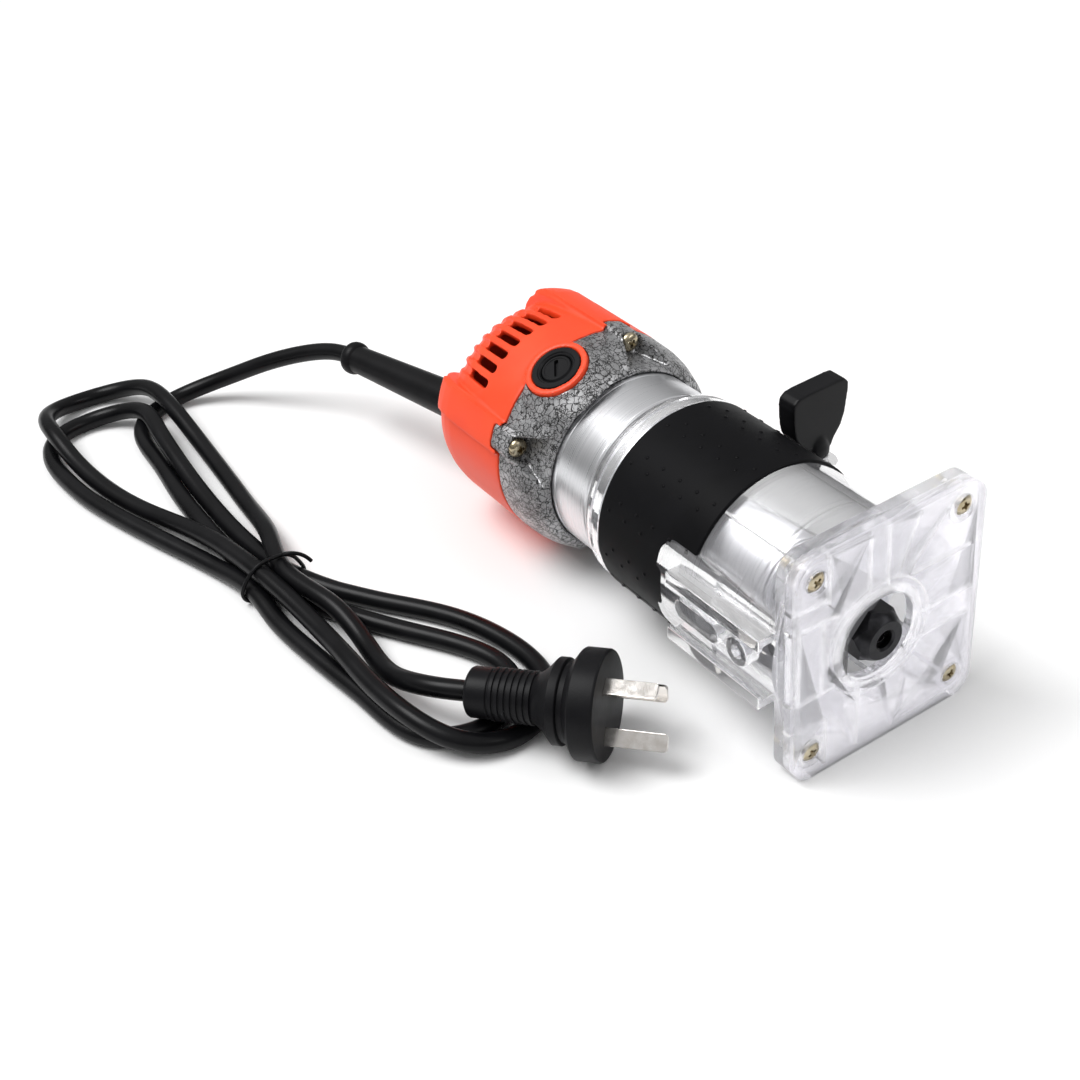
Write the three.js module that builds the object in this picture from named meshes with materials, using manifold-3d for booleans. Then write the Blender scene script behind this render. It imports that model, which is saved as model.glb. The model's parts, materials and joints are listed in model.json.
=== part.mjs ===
// Trim router lying on its side, with its base, its folded cord and its plug.
// Millimetres. Inside the router group the spindle is the X axis, +X points out of the sole plate,
// whose front face is x = 0, the guide rails are on the -Y side and the clamp is on the +Y side.
import * as THREE from "three";
import { mergeVertices } from "three/addons/utils/BufferGeometryUtils.js";
import Module from "manifold-3d";

// ---------------------------------------------------------------- driving dimensions
const GAP = 0.3; // clearance between pieces that touch
const AXIS_HEIGHT = 46; // spindle axis above the surface that the router lies on
const ORIGIN_X = -106.9; // middle of the router's length and width, without its cord
const ORIGIN_Y = 6.8;

const BARREL_R = 35.7;
const BARREL_WALL = 2.4;
const BARREL_FRONT = -27.6;
const BARREL_REAR = -146;

const HEAD_R = 43.8; // widest radius of the bracket and the cap
const BRACKET_FRONT = -137;
const BRACKET_REAR = -157;
const CAP_REAR = -213;
const CAP_WALL = 2.6;
const RIB_RISE = 1.7;
const RIB_HALF_WIDTH = 6.5;

const BRUSH_ANGLE = 25; // degrees round the spindle from +Z towards -Y
const BRUSH_X = -154;
const BRUSH_BOSS_R = 12.5;
const HOLDER_R = 7.6;
const HOLDER_RIM_R = 9.8;
const SCREW_ANGLES = [70, 160, 250, 340];
const SCREW_CIRCLE = 41.6;
const SCREW_HOLE_R = 2.1;
const POCKET_FLOOR = -153.7;
const POCKET_HALF_WIDTH = 4.6;
const SLOT_PITCH = 8.9; // degrees between vent slots
const SLOTS_PER_SIDE = 7;
const SLOTTED_HALF_ANGLE = 35.5;

const BASE_BORE = BARREL_R + GAP;
const BASE_R = 37.5;
const BASE_FRONT_R = 38.2;
const BASE_REAR = -114;
const COLLAR_FRONT = -104;
const FLANGE_REAR = -10.5;
const FLANGE_FRONT = -5.6;
const PLATE_THICK = 5.3;
const PLATE_Y = [-36.5, 44.5];
const PLATE_Z = [-AXIS_HEIGHT, 45];
const PLATE_CORNER = 8;
const PLATE_HOLE = 16.6;
const PLATE_SCREWS = [-28, 35.5].flatMap((y) => [-35.5, 36].map((z) => [y, z]));

const GRIP_R = 39;
const GRIP_X = [-103.7, -53];
const CLAMP_X = -84;
const CLAMP_Y = 45;
const EAR_TOP = 9;
const SPLIT = 2.6;
const STUD_R = 2.5;
const STUD_HOLE_R = STUD_R + GAP;
const GUIDE_EYE = [-24, -38.6]; // screw eye between the rails, X and Y

const STACK_X = [-114, -66];
const SHAFT_R = 4;
const WINDING_BORE = SHAFT_R + GAP;
const FRONT_BEARING = { x: [-34.5, -26.6], bore: 5.3, outer: 13 };
const REAR_BEARING = { x: [-176.6, -170.6], bore: 3.8, outer: 9.5 };
const SPINDLE_FRONT = -7;
const NUT_REAR = -17.5;
const NUT_FRONT = 2.4;
const NUT_FLATS = 18;

const ROCKER_AT = [9, 5]; // switch centre on the cap's back face, Y and Z
const ROCKER_HALF = [6.5, 9.6];
const ROCKER_PIVOT_X = -208.5;
const ROCKER_TILT = 8; // degrees
const GUARD_AT = [-18.2, -8.4]; // where the cord leaves the cap's back face
const GUARD_NECK_R = 6;

const CORD_R = 3.8;
const CORD_SIDES = 10;
const PLUG_FACE = [-53, -73]; // centre of the plug's face, X and Y
const PLUG_TURN = 38; // degrees from +X towards +Y, the way that the pins point
const PLUG_TILT = 3.5; // degrees that the pins point upward
const PLUG_ROLL = -43; // degrees round the plug's own axis
const PLUG_R = 19.6;
const PLUG_DISC_REAR = -8.8;
const PLUG_REAR = -50;
const HANK_TIE_X = -208;
const LOOSE_LOOP_HEIGHT = 7.6; // the loop beside the plug lies flat on the surface
const CROSSED_LOOP_HEIGHT = 17; // the loop whose strands lie on one another

// ---------------------------------------------------------------- solids
const wasm = await Module();
wasm.setup();

const radians = THREE.MathUtils.degToRad;

// One welded closed surface with its faces pointing out, as a manifold solid.
function solid(geometry) {
  const plain = geometry.clone();
  plain.deleteAttribute("normal");
  plain.deleteAttribute("uv");
  const welded = mergeVertices(plain, 1e-4);
  const position = welded.attributes.position.array;
  const index = [...welded.index.array];
  const corner = (i) => new THREE.Vector3().fromArray(position, 3 * i);
  const triangles = [];
  let volume = 0;
  for (let i = 0; i < index.length; i += 3) {
    const [a, b, c] = index.slice(i, i + 3);
    if (a === b || b === c || c === a) continue;
    triangles.push(a, b, c);
    volume += corner(a).dot(corner(b).cross(corner(c)));
  }
  if (volume < 0) triangles.reverse();
  const mesh = new wasm.Mesh({
    numProp: 3,
    vertProperties: Float32Array.from(position),
    triVerts: Uint32Array.from(triangles),
  });
  return new wasm.Manifold(mesh);
}

function geometryOf(body) {
  const mesh = body.getMesh();
  const geometry = new THREE.BufferGeometry();
  const position = new THREE.BufferAttribute(mesh.vertProperties, 3);
  geometry.setAttribute("position", position);
  geometry.setIndex(new THREE.BufferAttribute(mesh.triVerts, 1));
  geometry.computeVertexNormals();
  return geometry;
}

const join = (first, ...others) =>
  geometryOf(others.reduce((sum, other) => sum.add(solid(other)), solid(first)));
const cut = (first, ...tools) =>
  geometryOf(tools.reduce((rest, tool) => rest.subtract(solid(tool)), solid(first)));
const common = (first, second) => geometryOf(solid(first).intersect(solid(second)));

// ---------------------------------------------------------------- shapes
// The local X, Y and Z of an extrusion become the router's Y, Z and X.
const TO_X = new THREE.Matrix4().makeBasis(
  new THREE.Vector3(0, 1, 0),
  new THREE.Vector3(0, 0, 1),
  new THREE.Vector3(1, 0, 0),
);

// A body of revolution round the X axis. Each profile point is [x, radius].
function revolve(profile, segments) {
  const points = profile.map(([x, r]) => new THREE.Vector2(r, x));
  const touchesAxis = profile[0][1] === 0 && profile.at(-1)[1] === 0;
  if (!touchesAxis) points.push(points[0].clone());
  const geometry = new THREE.LatheGeometry(points, segments);
  geometry.rotateZ(-Math.PI / 2);
  return geometryOf(solid(geometry));
}

const ring = (x0, x1, inner, outer, segments) =>
  revolve([[x0, inner], [x1, inner], [x1, outer], [x0, outer]], segments);

const rod = (x0, x1, radius, segments) =>
  revolve([[x0, 0], [x0, radius], [x1, radius], [x1, 0]], segments);

function box(x, y, z) {
  const geometry = new THREE.BoxGeometry(x[1] - x[0], y[1] - y[0], z[1] - z[0]);
  geometry.translate((x[0] + x[1]) / 2, (y[0] + y[1]) / 2, (z[0] + z[1]) / 2);
  return geometry;
}

// Points of an arc, both ends included.
function arc(x, y, radius, from, to, steps) {
  const curve = new THREE.EllipseCurve(x, y, radius, radius, radians(from), radians(to));
  return curve.getPoints(steps);
}

// A rectangle with round corners of so many steps each.
function outline(x, y, radius, steps = 3) {
  return new THREE.Shape([
    ...arc(x[1] - radius, y[1] - radius, radius, 0, 90, steps),
    ...arc(x[0] + radius, y[1] - radius, radius, 90, 180, steps),
    ...arc(x[0] + radius, y[0] + radius, radius, 180, 270, steps),
    ...arc(x[1] - radius, y[0] + radius, radius, 270, 360, steps),
  ]);
}

const circle = (x, y, radius, sides) => new THREE.Shape(arc(x, y, radius, 0, 360, sides).slice(1));

function ringShape(outer, inner, sides) {
  const shape = circle(0, 0, outer, sides);
  shape.holes.push(circle(0, 0, inner, sides));
  return shape;
}

function extrude(shape, depth) {
  return new THREE.ExtrudeGeometry(shape, { depth, bevelEnabled: false, curveSegments: 4 });
}

// A slab across the X axis, whose outline is drawn in Y and Z.
function slab(shape, x0, x1) {
  const geometry = extrude(shape, x1 - x0);
  geometry.applyMatrix4(TO_X);
  geometry.translate(x0, 0, 0);
  return geometry;
}

// A cylinder along the radius at an angle round the X axis, from one radial height to another.
function radialRod(x, angle, from, to, radius, segments) {
  const geometry = new THREE.CylinderGeometry(radius, radius, to - from, segments);
  geometry.rotateX(Math.PI / 2);
  geometry.rotateZ(Math.PI / 2);
  geometry.translate(x, 0, (from + to) / 2);
  geometry.rotateX(radians(angle));
  return geometry;
}

function turned(geometry, angle) {
  return geometry.clone().rotateX(radians(angle));
}

// ---------------------------------------------------------------- materials
const paint = (color, roughness, metalness) => ({ color, roughness, metalness });
const ALUMINIUM = paint(0xd9dbde, 0.25, 1.0);
const CRACKLE_GREY = paint(0x77787b, 0.45, 0.4);
const ORANGE = paint(0xf4421f, 0.5, 0.0);
const BLACK = paint(0x17171a, 0.6, 0.0);
const RUBBER = paint(0x1c1c1f, 0.8, 0.0);
const CLEAR = paint(0xe6e6ee, 0.08, 0.0);
const ZINC = paint(0xb0a080, 0.3, 1.0);
const STEEL = paint(0x9a9ca0, 0.3, 1.0);
const OXIDE = paint(0x202124, 0.35, 0.8);
const COPPER = paint(0xb4693a, 0.35, 1.0);
const BRASS = paint(0xb9994c, 0.3, 1.0);
const CARBON = paint(0x2b2b2d, 0.7, 0.1);
const LAMINATION = paint(0x6f7175, 0.5, 0.8);
const NICKEL = paint(0xc9c6bf, 0.2, 1.0);

const router = new THREE.Group();
router.position.set(-ORIGIN_X, -ORIGIN_Y, AXIS_HEIGHT);

function add(group, name, geometry, look) {
  const mesh = new THREE.Mesh(geometry, new THREE.MeshStandardMaterial(look));
  mesh.name = name;
  group.add(mesh);
  return mesh;
}

// ---------------------------------------------------------------- motor housing
function motorHousing() {
  const inner = BARREL_R - BARREL_WALL;
  return revolve(
    [
      [BARREL_REAR, inner],
      [BARREL_FRONT, inner],
      [BARREL_FRONT, BARREL_R - 0.8],
      [BARREL_FRONT - 0.8, BARREL_R],
      [BARREL_REAR, BARREL_R],
    ],
    48,
  );
}

// Nose plate with the front bearing's seat, closed by a lip round the spindle.
function frontCover() {
  const rim = BARREL_FRONT + GAP;
  const spigot = BARREL_R - BARREL_WALL - GAP;
  const seat = 13.3;
  return revolve(
    [
      [rim + 1.4, 10],
      [rim + 3.4, 10],
      [rim + 3.4, 15],
      [rim + 2.2, 17],
      [rim + 2.2, 33.6],
      [rim + 1, 34.9],
      [rim, 34.9],
      [rim, spigot],
      [rim - 1.4, spigot],
      [rim - 1.4, seat + 2.4],
      [rim - 7.4, seat + 2.4],
      [rim - 7.4, seat],
      [rim + 1.4, seat],
    ],
    24,
  );
}

// ---------------------------------------------------------------- bracket and cap
const SEAM = BRACKET_REAR - GAP;
const CAP_PROFILE = [
  [SEAM, 43.9],
  [-196, 43.9],
  [-205, 41.6],
  [-210.5, 37],
  [CAP_REAR, 31.5],
];
// The lower shoulder of the cap's two slotted sides.
const SLOTTED_PROFILE = [
  [SEAM, 43.9],
  [-186, 42.7],
  [-200, 39.8],
  [-209, 34.6],
  [CAP_REAR, 28.5],
];

const BOSS_TOP =
  (AXIS_HEIGHT - BRUSH_BOSS_R * Math.sin(radians(BRUSH_ANGLE))) / Math.cos(radians(BRUSH_ANGLE));
const BRUSH_ANGLES = [BRUSH_ANGLE, BRUSH_ANGLE + 180];

// A pad round each case screw, which the cap makes room for.
function screwPad(angle, clearance) {
  const half = RIB_HALF_WIDTH - 0.6 + clearance;
  const pad = outline([-half, half], [35, HEAD_R + RIB_RISE + clearance], 2.5, 2);
  return turned(slab(pad, BRACKET_REAR - 4 - clearance, POCKET_FLOOR + 3), angle);
}

function screwHoles(x0, x1) {
  return SCREW_ANGLES.map((angle) => {
    const hole = rod(x0, x1, SCREW_HOLE_R, 10);
    hole.translate(0, 0, SCREW_CIRCLE);
    return turned(hole, angle);
  });
}

function brushHousing() {
  const bore = BARREL_R + GAP;
  const shell = revolve(
    [
      [BRACKET_FRONT, bore],
      [BRACKET_FRONT, 37.4],
      [-139.6, 40.4],
      [-147, 42.8],
      [BRACKET_REAR, HEAD_R],
      [BRACKET_REAR, 33.4],
      [BARREL_REAR - GAP, 33.4],
      [BARREL_REAR - GAP, bore],
    ],
    36,
  );
  const pads = SCREW_ANGLES.map((angle) => screwPad(angle, 0));
  const pockets = SCREW_ANGLES.map((angle) => {
    const across = [-POCKET_HALF_WIDTH, POCKET_HALF_WIDTH];
    const outward = [SCREW_CIRCLE - POCKET_HALF_WIDTH, HEAD_R + 10];
    return turned(slab(outline(across, outward, 4.5, 4), POCKET_FLOOR, BRACKET_FRONT + 7), angle);
  });
  const notches = BRUSH_ANGLES.map((angle) =>
    radialRod(BRUSH_X, angle, 28, 50, BRUSH_BOSS_R + GAP, 24),
  );
  return cut(join(shell, ...pads), ...pockets, ...screwHoles(-170, -140), ...notches);
}

function ventSlot(angle) {
  const slot = extrude(outline([-208, -180.5], [-1.6, 1.6], 1.2, 1), 20);
  slot.translate(0, 0, 33);
  return turned(slot, angle);
}

// What is taken off the full profile on a slotted side.
function slottedSide(angle) {
  const reach = 60;
  const half = radians(SLOTTED_HALF_ANGLE);
  const [across, along] = [reach * Math.sin(half), reach * Math.cos(half)];
  const corners = [[0, 0], [across, along], [-across, along]];
  const wedge = new THREE.Shape(corners.map(([y, z]) => new THREE.Vector2(y, z)));
  const kept = revolve([[SEAM, 0], ...SLOTTED_PROFILE, [CAP_REAR, 0]], 36);
  return cut(turned(slab(wedge, CAP_REAR - 1, SEAM - 3), angle), kept);
}

function endCap() {
  const inside = SLOTTED_PROFILE.map(([x, r]) => [Math.max(x, CAP_REAR + CAP_WALL), r - CAP_WALL]);
  const shell = revolve(
    [...CAP_PROFILE, [CAP_REAR, 0], [CAP_REAR + CAP_WALL, 0], ...inside.reverse()],
    36,
  );
  const raised = revolve(
    [[SEAM, 0], ...CAP_PROFILE.map(([x, r]) => [x, r + RIB_RISE]), [CAP_REAR, 0]],
    36,
  );
  const lane = outline([-RIB_HALF_WIDTH, RIB_HALF_WIDTH], [38.5, 50], 1, 1);
  const ribs = SCREW_ANGLES.map((angle) =>
    common(raised, turned(slab(lane, CAP_REAR + 5, SEAM), angle)),
  );
  const bosses = BRUSH_ANGLES.map((angle) =>
    radialRod(BRUSH_X, angle, 39, BOSS_TOP, BRUSH_BOSS_R, 24),
  );
  const middle = (SLOTS_PER_SIDE - 1) / 2;
  const slots = BRUSH_ANGLES.flatMap((angle) =>
    Array.from({ length: SLOTS_PER_SIDE }, (_, i) => ventSlot(angle + (i - middle) * SLOT_PITCH)),
  );
  const bores = BRUSH_ANGLES.flatMap((angle) => [
    radialRod(BRUSH_X, angle, 20, 50, HOLDER_R + GAP, 16),
    radialRod(BRUSH_X, angle, BOSS_TOP - 1.8, 50, HOLDER_RIM_R + GAP, 16),
  ]);
  const rooms = SCREW_ANGLES.map((angle) => screwPad(angle, GAP));
  const [y, z] = ROCKER_AT;
  const [halfY, halfZ] = ROCKER_HALF;
  const switchHole = box([-215, -205], [y - halfY, y + halfY], [z - halfZ, z + halfZ]);
  const guardHole = rod(-215, -205, GUARD_NECK_R + GAP, 16);
  guardHole.translate(0, ...GUARD_AT);
  const squared = cut(shell, ...BRUSH_ANGLES.map(slottedSide));
  const cap = join(squared, ...ribs, ...bosses);
  return cut(cap, ...slots, ...bores, ...screwHoles(-176, -150), ...rooms, switchHole, guardHole);
}

// A bar across the cap that carries the rear bearing.
function bearingBracket() {
  const bar = slab(outline([-38.4, 38.4], [-8, 8], 2, 2), -180, -173);
  const hub = rod(-180, -169, 13, 20);
  const seat = rod(-177, -160, 9.8, 20);
  const bore = rod(-190, -160, 6, 16);
  return cut(join(turned(bar, BRUSH_ANGLE), turned(hub, BRUSH_ANGLE)), seat, bore);
}

// Cross-head pan screw along the X axis, its head towards +X.
function panScrew(headX, headR, headHeight, shankR, length) {
  const under = headX - headHeight;
  const body = revolve(
    [
      [under - length, 0],
      [under - length, shankR],
      [under, shankR],
      [under, headR],
      [under + headHeight * 0.5, headR],
      [headX, headR * 0.6],
      [headX, 0],
    ],
    12,
  );
  const reach = headR * 0.5;
  const depth = [headX - headHeight * 0.5, headX + 1];
  const arm = box(depth, [-reach, reach], [-0.45, 0.45]);
  return cut(body, arm, turned(arm, 90));
}

// ---------------------------------------------------------------- stator and rotor
// A laminated ring with two poles, above and below the armature along the brush angle's normal.
function statorCore() {
  const yoke = slab(ringShape(33, 26.8, 28), ...STACK_X);
  const poles = [1, -1].map((side) => {
    const neck = side > 0 ? [18, 28] : [-28, -18];
    const shoe = side > 0 ? [10, 19.5] : [-19.5, -10];
    const stem = slab(outline([-9, 9], neck, 0.5, 1), ...STACK_X);
    return join(stem, slab(outline([-15, 15], shoe, 0.8, 1), ...STACK_X));
  });
  return cut(join(yoke, ...poles), rod(-130, -50, 16.6, 24));
}

// A coil wound round one pole.
function fieldCoil(side) {
  const shape = outline([STACK_X[0] - 5.4, STACK_X[1] + 5.4], [-13.4, 13.4], 4);
  shape.holes.push(outline([STACK_X[0] - 0.4, STACK_X[1] + 0.4], [-9.4, 9.4], 1, 2));
  const coil = extrude(shape, 2.7);
  coil.translate(0, 0, side > 0 ? 19.9 : -22.6);
  return geometryOf(solid(coil));
}

function spindle() {
  return cut(
    revolve(
      [
        [-178.4, 0],
        [-178.4, 3],
        [-177.9, 3.5],
        [-169.5, 3.5],
        [-169.5, SHAFT_R],
        [-52, SHAFT_R],
        [-52, 5],
        [-26.5, 5],
        [-24.6, 7.4],
        [SPINDLE_FRONT, 7.4],
        [SPINDLE_FRONT, 5.5],
        [-21, 3.9],
        [-21, 0],
      ],
      18,
    ),
    box([-24, -19.6], [6.3, 9], [-9, 9]),
    box([-24, -19.6], [-9, -6.3], [-9, 9]),
  );
}

// End turns of the armature winding, a rounded ring.
function winding(x0, x1) {
  const profile = [
    [x0, WINDING_BORE],
    [x1, WINDING_BORE],
    [x1, 9],
    [x1 - 2, 13.5],
    [(x0 + x1) / 2, 15.2],
    [x0 + 2, 13.5],
    [x0, 9],
  ];
  return revolve(profile, 16);
}

function fan() {
  const disc = join(ring(-52, -50.5, 5.3, 29.5, 24), ring(-52, -44, 5.3, 8.5, 24));
  const blades = Array.from({ length: 8 }, (_, i) =>
    turned(box([-50.6, -44.5], [-0.8, 0.8], [8, 28.6]), i * 45),
  );
  return join(disc, ...blades);
}

// Inner ring, outer ring and ball cage of a bearing.
function bearing(name, { x: [x0, x1], bore, outer }) {
  const wall = (outer - bore) / 4;
  const [inner, rim] = [bore + wall, outer - wall];
  add(router, `${name}_inner`, ring(x0, x1, bore, inner, 16), STEEL);
  add(router, `${name}_cage`, ring(x0 + 1.2, x1 - 1.2, inner + 0.2, rim - 0.2, 16), BRASS);
  add(router, `${name}_outer`, ring(x0, x1, rim, outer, 20), STEEL);
}

// ---------------------------------------------------------------- brushes
function brushHolder(angle) {
  const top = BOSS_TOP - 0.1;
  const holder = revolve(
    [
      [13.4, 0],
      [13.4, HOLDER_R],
      [top - 1.4, HOLDER_R],
      [top - 1.4, HOLDER_RIM_R],
      [top, HOLDER_RIM_R],
      [top, 6.3],
      [36.6, 6.3],
      [36.6, 0],
    ],
    16,
  );
  const channel = box([10, 40], [-3, 3], [-4, 4]);
  return along(cut(holder, channel), angle);
}

// Carries a piece made along +X to a brush's place, where +X becomes the outward radius.
function along(geometry, angle) {
  geometry.rotateY(-Math.PI / 2);
  geometry.translate(BRUSH_X, 0, 0);
  geometry.rotateX(radians(angle));
  return geometry;
}

function carbonBrush(angle) {
  return along(box([11.4, 26], [-2.7, 2.7], [-3.7, 3.7]), angle);
}

function brushSpring(angle) {
  return along(ring(26.2, 36.4, 1.9, 2.5, 12), angle);
}

function brushCap(angle) {
  const top = BOSS_TOP - 0.4;
  const cap = rod(36.9, top, 6, 16);
  const slot = box([top - 1.6, top + 1], [-0.8, 0.8], [-4.2, 4.2]);
  const well = rod(36, 38, 3, 12);
  return along(cut(cap, slot, well), angle);
}

// ---------------------------------------------------------------- collet
function collet() {
  const sleeve = revolve(
    [
      [-20.4, 3.2],
      [-0.6, 3.2],
      [-0.6, 3.9],
      [-3.4, 6.6],
      [-5.4, 6.6],
      [-6, 5.1],
      [-20.4, 3.45],
    ],
    15,
  );
  const slits = [0, 120, 240].map((angle) => turned(box([-17, 1], [-0.35, 0.35], [0, 9]), angle));
  return cut(sleeve, ...slits);
}

function colletNut() {
  const radius = NUT_FLATS / 2 / Math.cos(Math.PI / 6);
  const prism = rod(NUT_REAR, NUT_FRONT, radius, 6);
  prism.rotateX(radians(15));
  const envelope = revolve(
    [
      [NUT_REAR, 0],
      [NUT_REAR, 9.6],
      [NUT_REAR + 0.8, 11],
      [-1.8, 10.6],
      [0.6, 9.4],
      [NUT_FRONT, 7.6],
      [NUT_FRONT, 0],
    ],
    24,
  );
  const cavity = revolve(
    [
      [NUT_REAR - 0.5, 0],
      [NUT_REAR - 0.5, 7.8],
      [-6, 7.8],
      [-5, 7],
      [-3.2, 7],
      [-0.2, 4.1],
      [-0.2, 3.4],
      [NUT_FRONT + 1.6, 3.4],
      [NUT_FRONT + 1.6, 0],
    ],
    16,
  );
  return cut(common(prism, envelope), cavity);
}

// ---------------------------------------------------------------- base
const RAIL = { x: [-58, FLANGE_REAR], y: [-43.5, -36.4], z: [11.2, 14.4], lip: 1.8 };

function baseSleeve() {
  return revolve(
    [
      [BASE_REAR, BASE_BORE],
      [FLANGE_REAR + 1, BASE_BORE],
      [FLANGE_REAR + 1, BASE_FRONT_R],
      [GRIP_X[1] + GAP, BASE_FRONT_R],
      [GRIP_X[1] + GAP, BASE_R],
      [COLLAR_FRONT, BASE_R],
      [COLLAR_FRONT, 38.6],
      [BASE_REAR + 4, 38.6],
      [BASE_REAR, 36.8],
    ],
    48,
  );
}

function baseFlange() {
  const shape = outline(PLATE_Y, PLATE_Z, PLATE_CORNER, 4);
  shape.holes.push(circle(0, 0, 27, 36));
  for (const [y, z] of PLATE_SCREWS) shape.holes.push(circle(y, z, 1.9, 8));
  return slab(shape, FLANGE_REAR, FLANGE_FRONT);
}

function clampEar(side) {
  const shape = outline([CLAMP_X - 10, CLAMP_X + 10], [34, 52], 3);
  const ear = extrude(shape, EAR_TOP - SPLIT / 2);
  ear.translate(0, 0, side > 0 ? SPLIT / 2 : -EAR_TOP);
  return ear;
}

// An L-shaped rail that holds the edge guide.
function guideRail(side) {
  const { x, y, z, lip } = RAIL;
  const wall = side > 0 ? z : [-z[1], -z[0]];
  const hook = side > 0 ? [z[0] - lip, z[1]] : [-z[1], -z[0] + lip];
  return join(box(x, y, wall), box(x, [y[0], y[0] + 1.8], hook));
}

// The raised pad that shows through the grip's cut-out behind the rails.
function guidePad() {
  const band = ring(-66, FLANGE_REAR - 12, BASE_R - 0.6, GRIP_R + 0.2, 48);
  return common(band, box([-70, 0], [-50, -15], [-17, 17]));
}

function chipWindow(angle, x0, x1, halfWidth) {
  const tool = extrude(outline([x0, x1], [-halfWidth, halfWidth], 5), 20);
  tool.translate(0, 0, 28);
  return turned(tool, angle);
}

function baseBody() {
  const screwEye = new THREE.CylinderGeometry(5.5, 5.5, 5, 16);
  screwEye.translate(...GUIDE_EYE, 0);
  const body = join(
    baseSleeve(),
    baseFlange(),
    clampEar(1),
    clampEar(-1),
    guideRail(1),
    guideRail(-1),
    guidePad(),
    screwEye,
  );
  const bore = rod(-120, FLANGE_REAR + 0.5, BASE_BORE, 48);
  const split = box([-120, -30], [25, 60], [-SPLIT / 2, SPLIT / 2]);
  const studHole = new THREE.CylinderGeometry(STUD_HOLE_R + 0.1, STUD_HOLE_R + 0.1, 40, 12);
  studHole.rotateX(Math.PI / 2);
  studHole.translate(CLAMP_X, CLAMP_Y, 0);
  const eyeHole = new THREE.CylinderGeometry(2.6, 2.6, 20, 12);
  eyeHole.translate(...GUIDE_EYE, 0);
  const windows = [chipWindow(180, -38, -14, 14), chipWindow(-52, -38, -16, 10)];
  return cut(body, bore, split, studHole, eyeHole, ...windows);
}

function subBase() {
  const [y0, y1] = PLATE_Y;
  const [z0, z1] = PLATE_Z;
  const skin = outline(PLATE_Y, PLATE_Z, PLATE_CORNER, 4);
  skin.holes.push(circle(0, 0, PLATE_HOLE, 32));
  const rim = outline(PLATE_Y, PLATE_Z, PLATE_CORNER, 4);
  rim.holes.push(outline([y0 + 3, y1 - 3], [z0 + 3, z1 - 3], PLATE_CORNER - 3));
  const back = [-PLATE_THICK, -2.2];
  const collar = slab(ringShape(PLATE_HOLE + 3, PLATE_HOLE, 32), ...back);
  const eyes = PLATE_SCREWS.map(([y, z]) => rod(...back, 6.4, 12).translate(0, y, z));
  const edges = { 0: z1, 90: -y0, 135: 50, 180: -z0, 225: 50, 270: y1, 315: 50 };
  const ribs = Object.entries(edges).map(([angle, edge]) =>
    turned(box(back, [-1, 1], [PLATE_HOLE + 2, edge - 2]), Number(angle)),
  );
  const holes = PLATE_SCREWS.flatMap(([y, z]) => [
    rod(-10, 1, SCREW_HOLE_R, 8).translate(0, y, z),
    rod(-2.9, 1, 4.3, 12).translate(0, y, z),
  ]);
  return cut(join(slab(skin, -2.4, 0), slab(rim, ...back), collar, ...eyes, ...ribs), ...holes);
}

function gripSleeve() {
  const sleeve = ring(GRIP_X[0], GRIP_X[1], BASE_R + GAP, GRIP_R, 44);
  const earRoom = box([CLAMP_X - 14, CLAMP_X + 14], [20, 60], [-13, 13]);
  const padRoom = extrude(outline([-68.5, -40], [-18.5, 18.5], 6), 30);
  padRoom.rotateX(Math.PI / 2);
  padRoom.translate(0, -20, 0);
  const seam = box([-110, -60], [-50, -20], [-14.2, -13.8]);
  return cut(sleeve, earRoom, padRoom, seam);
}

// ---------------------------------------------------------------- clamp
function clampKnob() {
  const shape = new THREE.Shape();
  shape.moveTo(-6.2, 15);
  shape.quadraticCurveTo(-12, 20, -12.6, 27);
  shape.lineTo(-13.2, 35.5);
  shape.quadraticCurveTo(-13.2, 39, -9.5, 39.4);
  shape.lineTo(9.5, 40);
  shape.quadraticCurveTo(13, 40, 13, 36.5);
  shape.lineTo(11.6, 25);
  shape.quadraticCurveTo(10.6, 19, 6.2, 15);
  shape.closePath();
  const paddle = slab(shape, -4.2, 4.2);
  const stem = upright(EAR_TOP + 1.8, 21, 6.2, 16);
  return cut(join(paddle, stem), upright(0, 23, STUD_HOLE_R, 12));
}

function upright(z0, z1, radius, segments) {
  const geometry = new THREE.CylinderGeometry(radius, radius, z1 - z0, segments);
  geometry.rotateX(Math.PI / 2);
  geometry.translate(0, 0, (z0 + z1) / 2);
  return geometry;
}

// ---------------------------------------------------------------- switch
function switchBody() {
  const [halfY, halfZ] = ROCKER_HALF;
  const outside = CAP_REAR - GAP;
  const halves = [[-halfY - 2, halfY + 2], [-halfZ - 2, halfZ + 2]];
  const frame = slab(outline(...halves, 2), outside - 1.5, outside);
  const core = box([outside - 1, -198], [-halfY + GAP, halfY - GAP], [-halfZ + GAP, halfZ - GAP]);
  const well = box([-220, -204.5], [-5.1, 5.1], [-8.4, 8.4]);
  return cut(join(frame, core), well);
}

// The rocker turns on a pin along Y. It rests with its upper end pressed in.
function switchRocker() {
  const shape = new THREE.Shape();
  shape.moveTo(-3.5, -1);
  shape.lineTo(3.5, -1);
  shape.lineTo(7, 3);
  shape.lineTo(7, 6.8);
  shape.lineTo(0, 5.6);
  shape.lineTo(-7, 6.8);
  shape.lineTo(-7, 3);
  shape.closePath();
  const rocker = extrude(shape, 9.6);
  rocker.translate(0, 0, -4.8);
  rocker.rotateX(Math.PI / 2);
  rocker.rotateY(-Math.PI / 2);
  rocker.rotateY(radians(-ROCKER_TILT));
  return rocker;
}

// ---------------------------------------------------------------- cord and plug
// Tapered sleeve with a bead at its end, held by a flange inside the cap.
const GUARD_LENGTH = 85;
const GUARD_WAY = new THREE.Vector3(-0.982, -0.184, -0.04).normalize();

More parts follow.
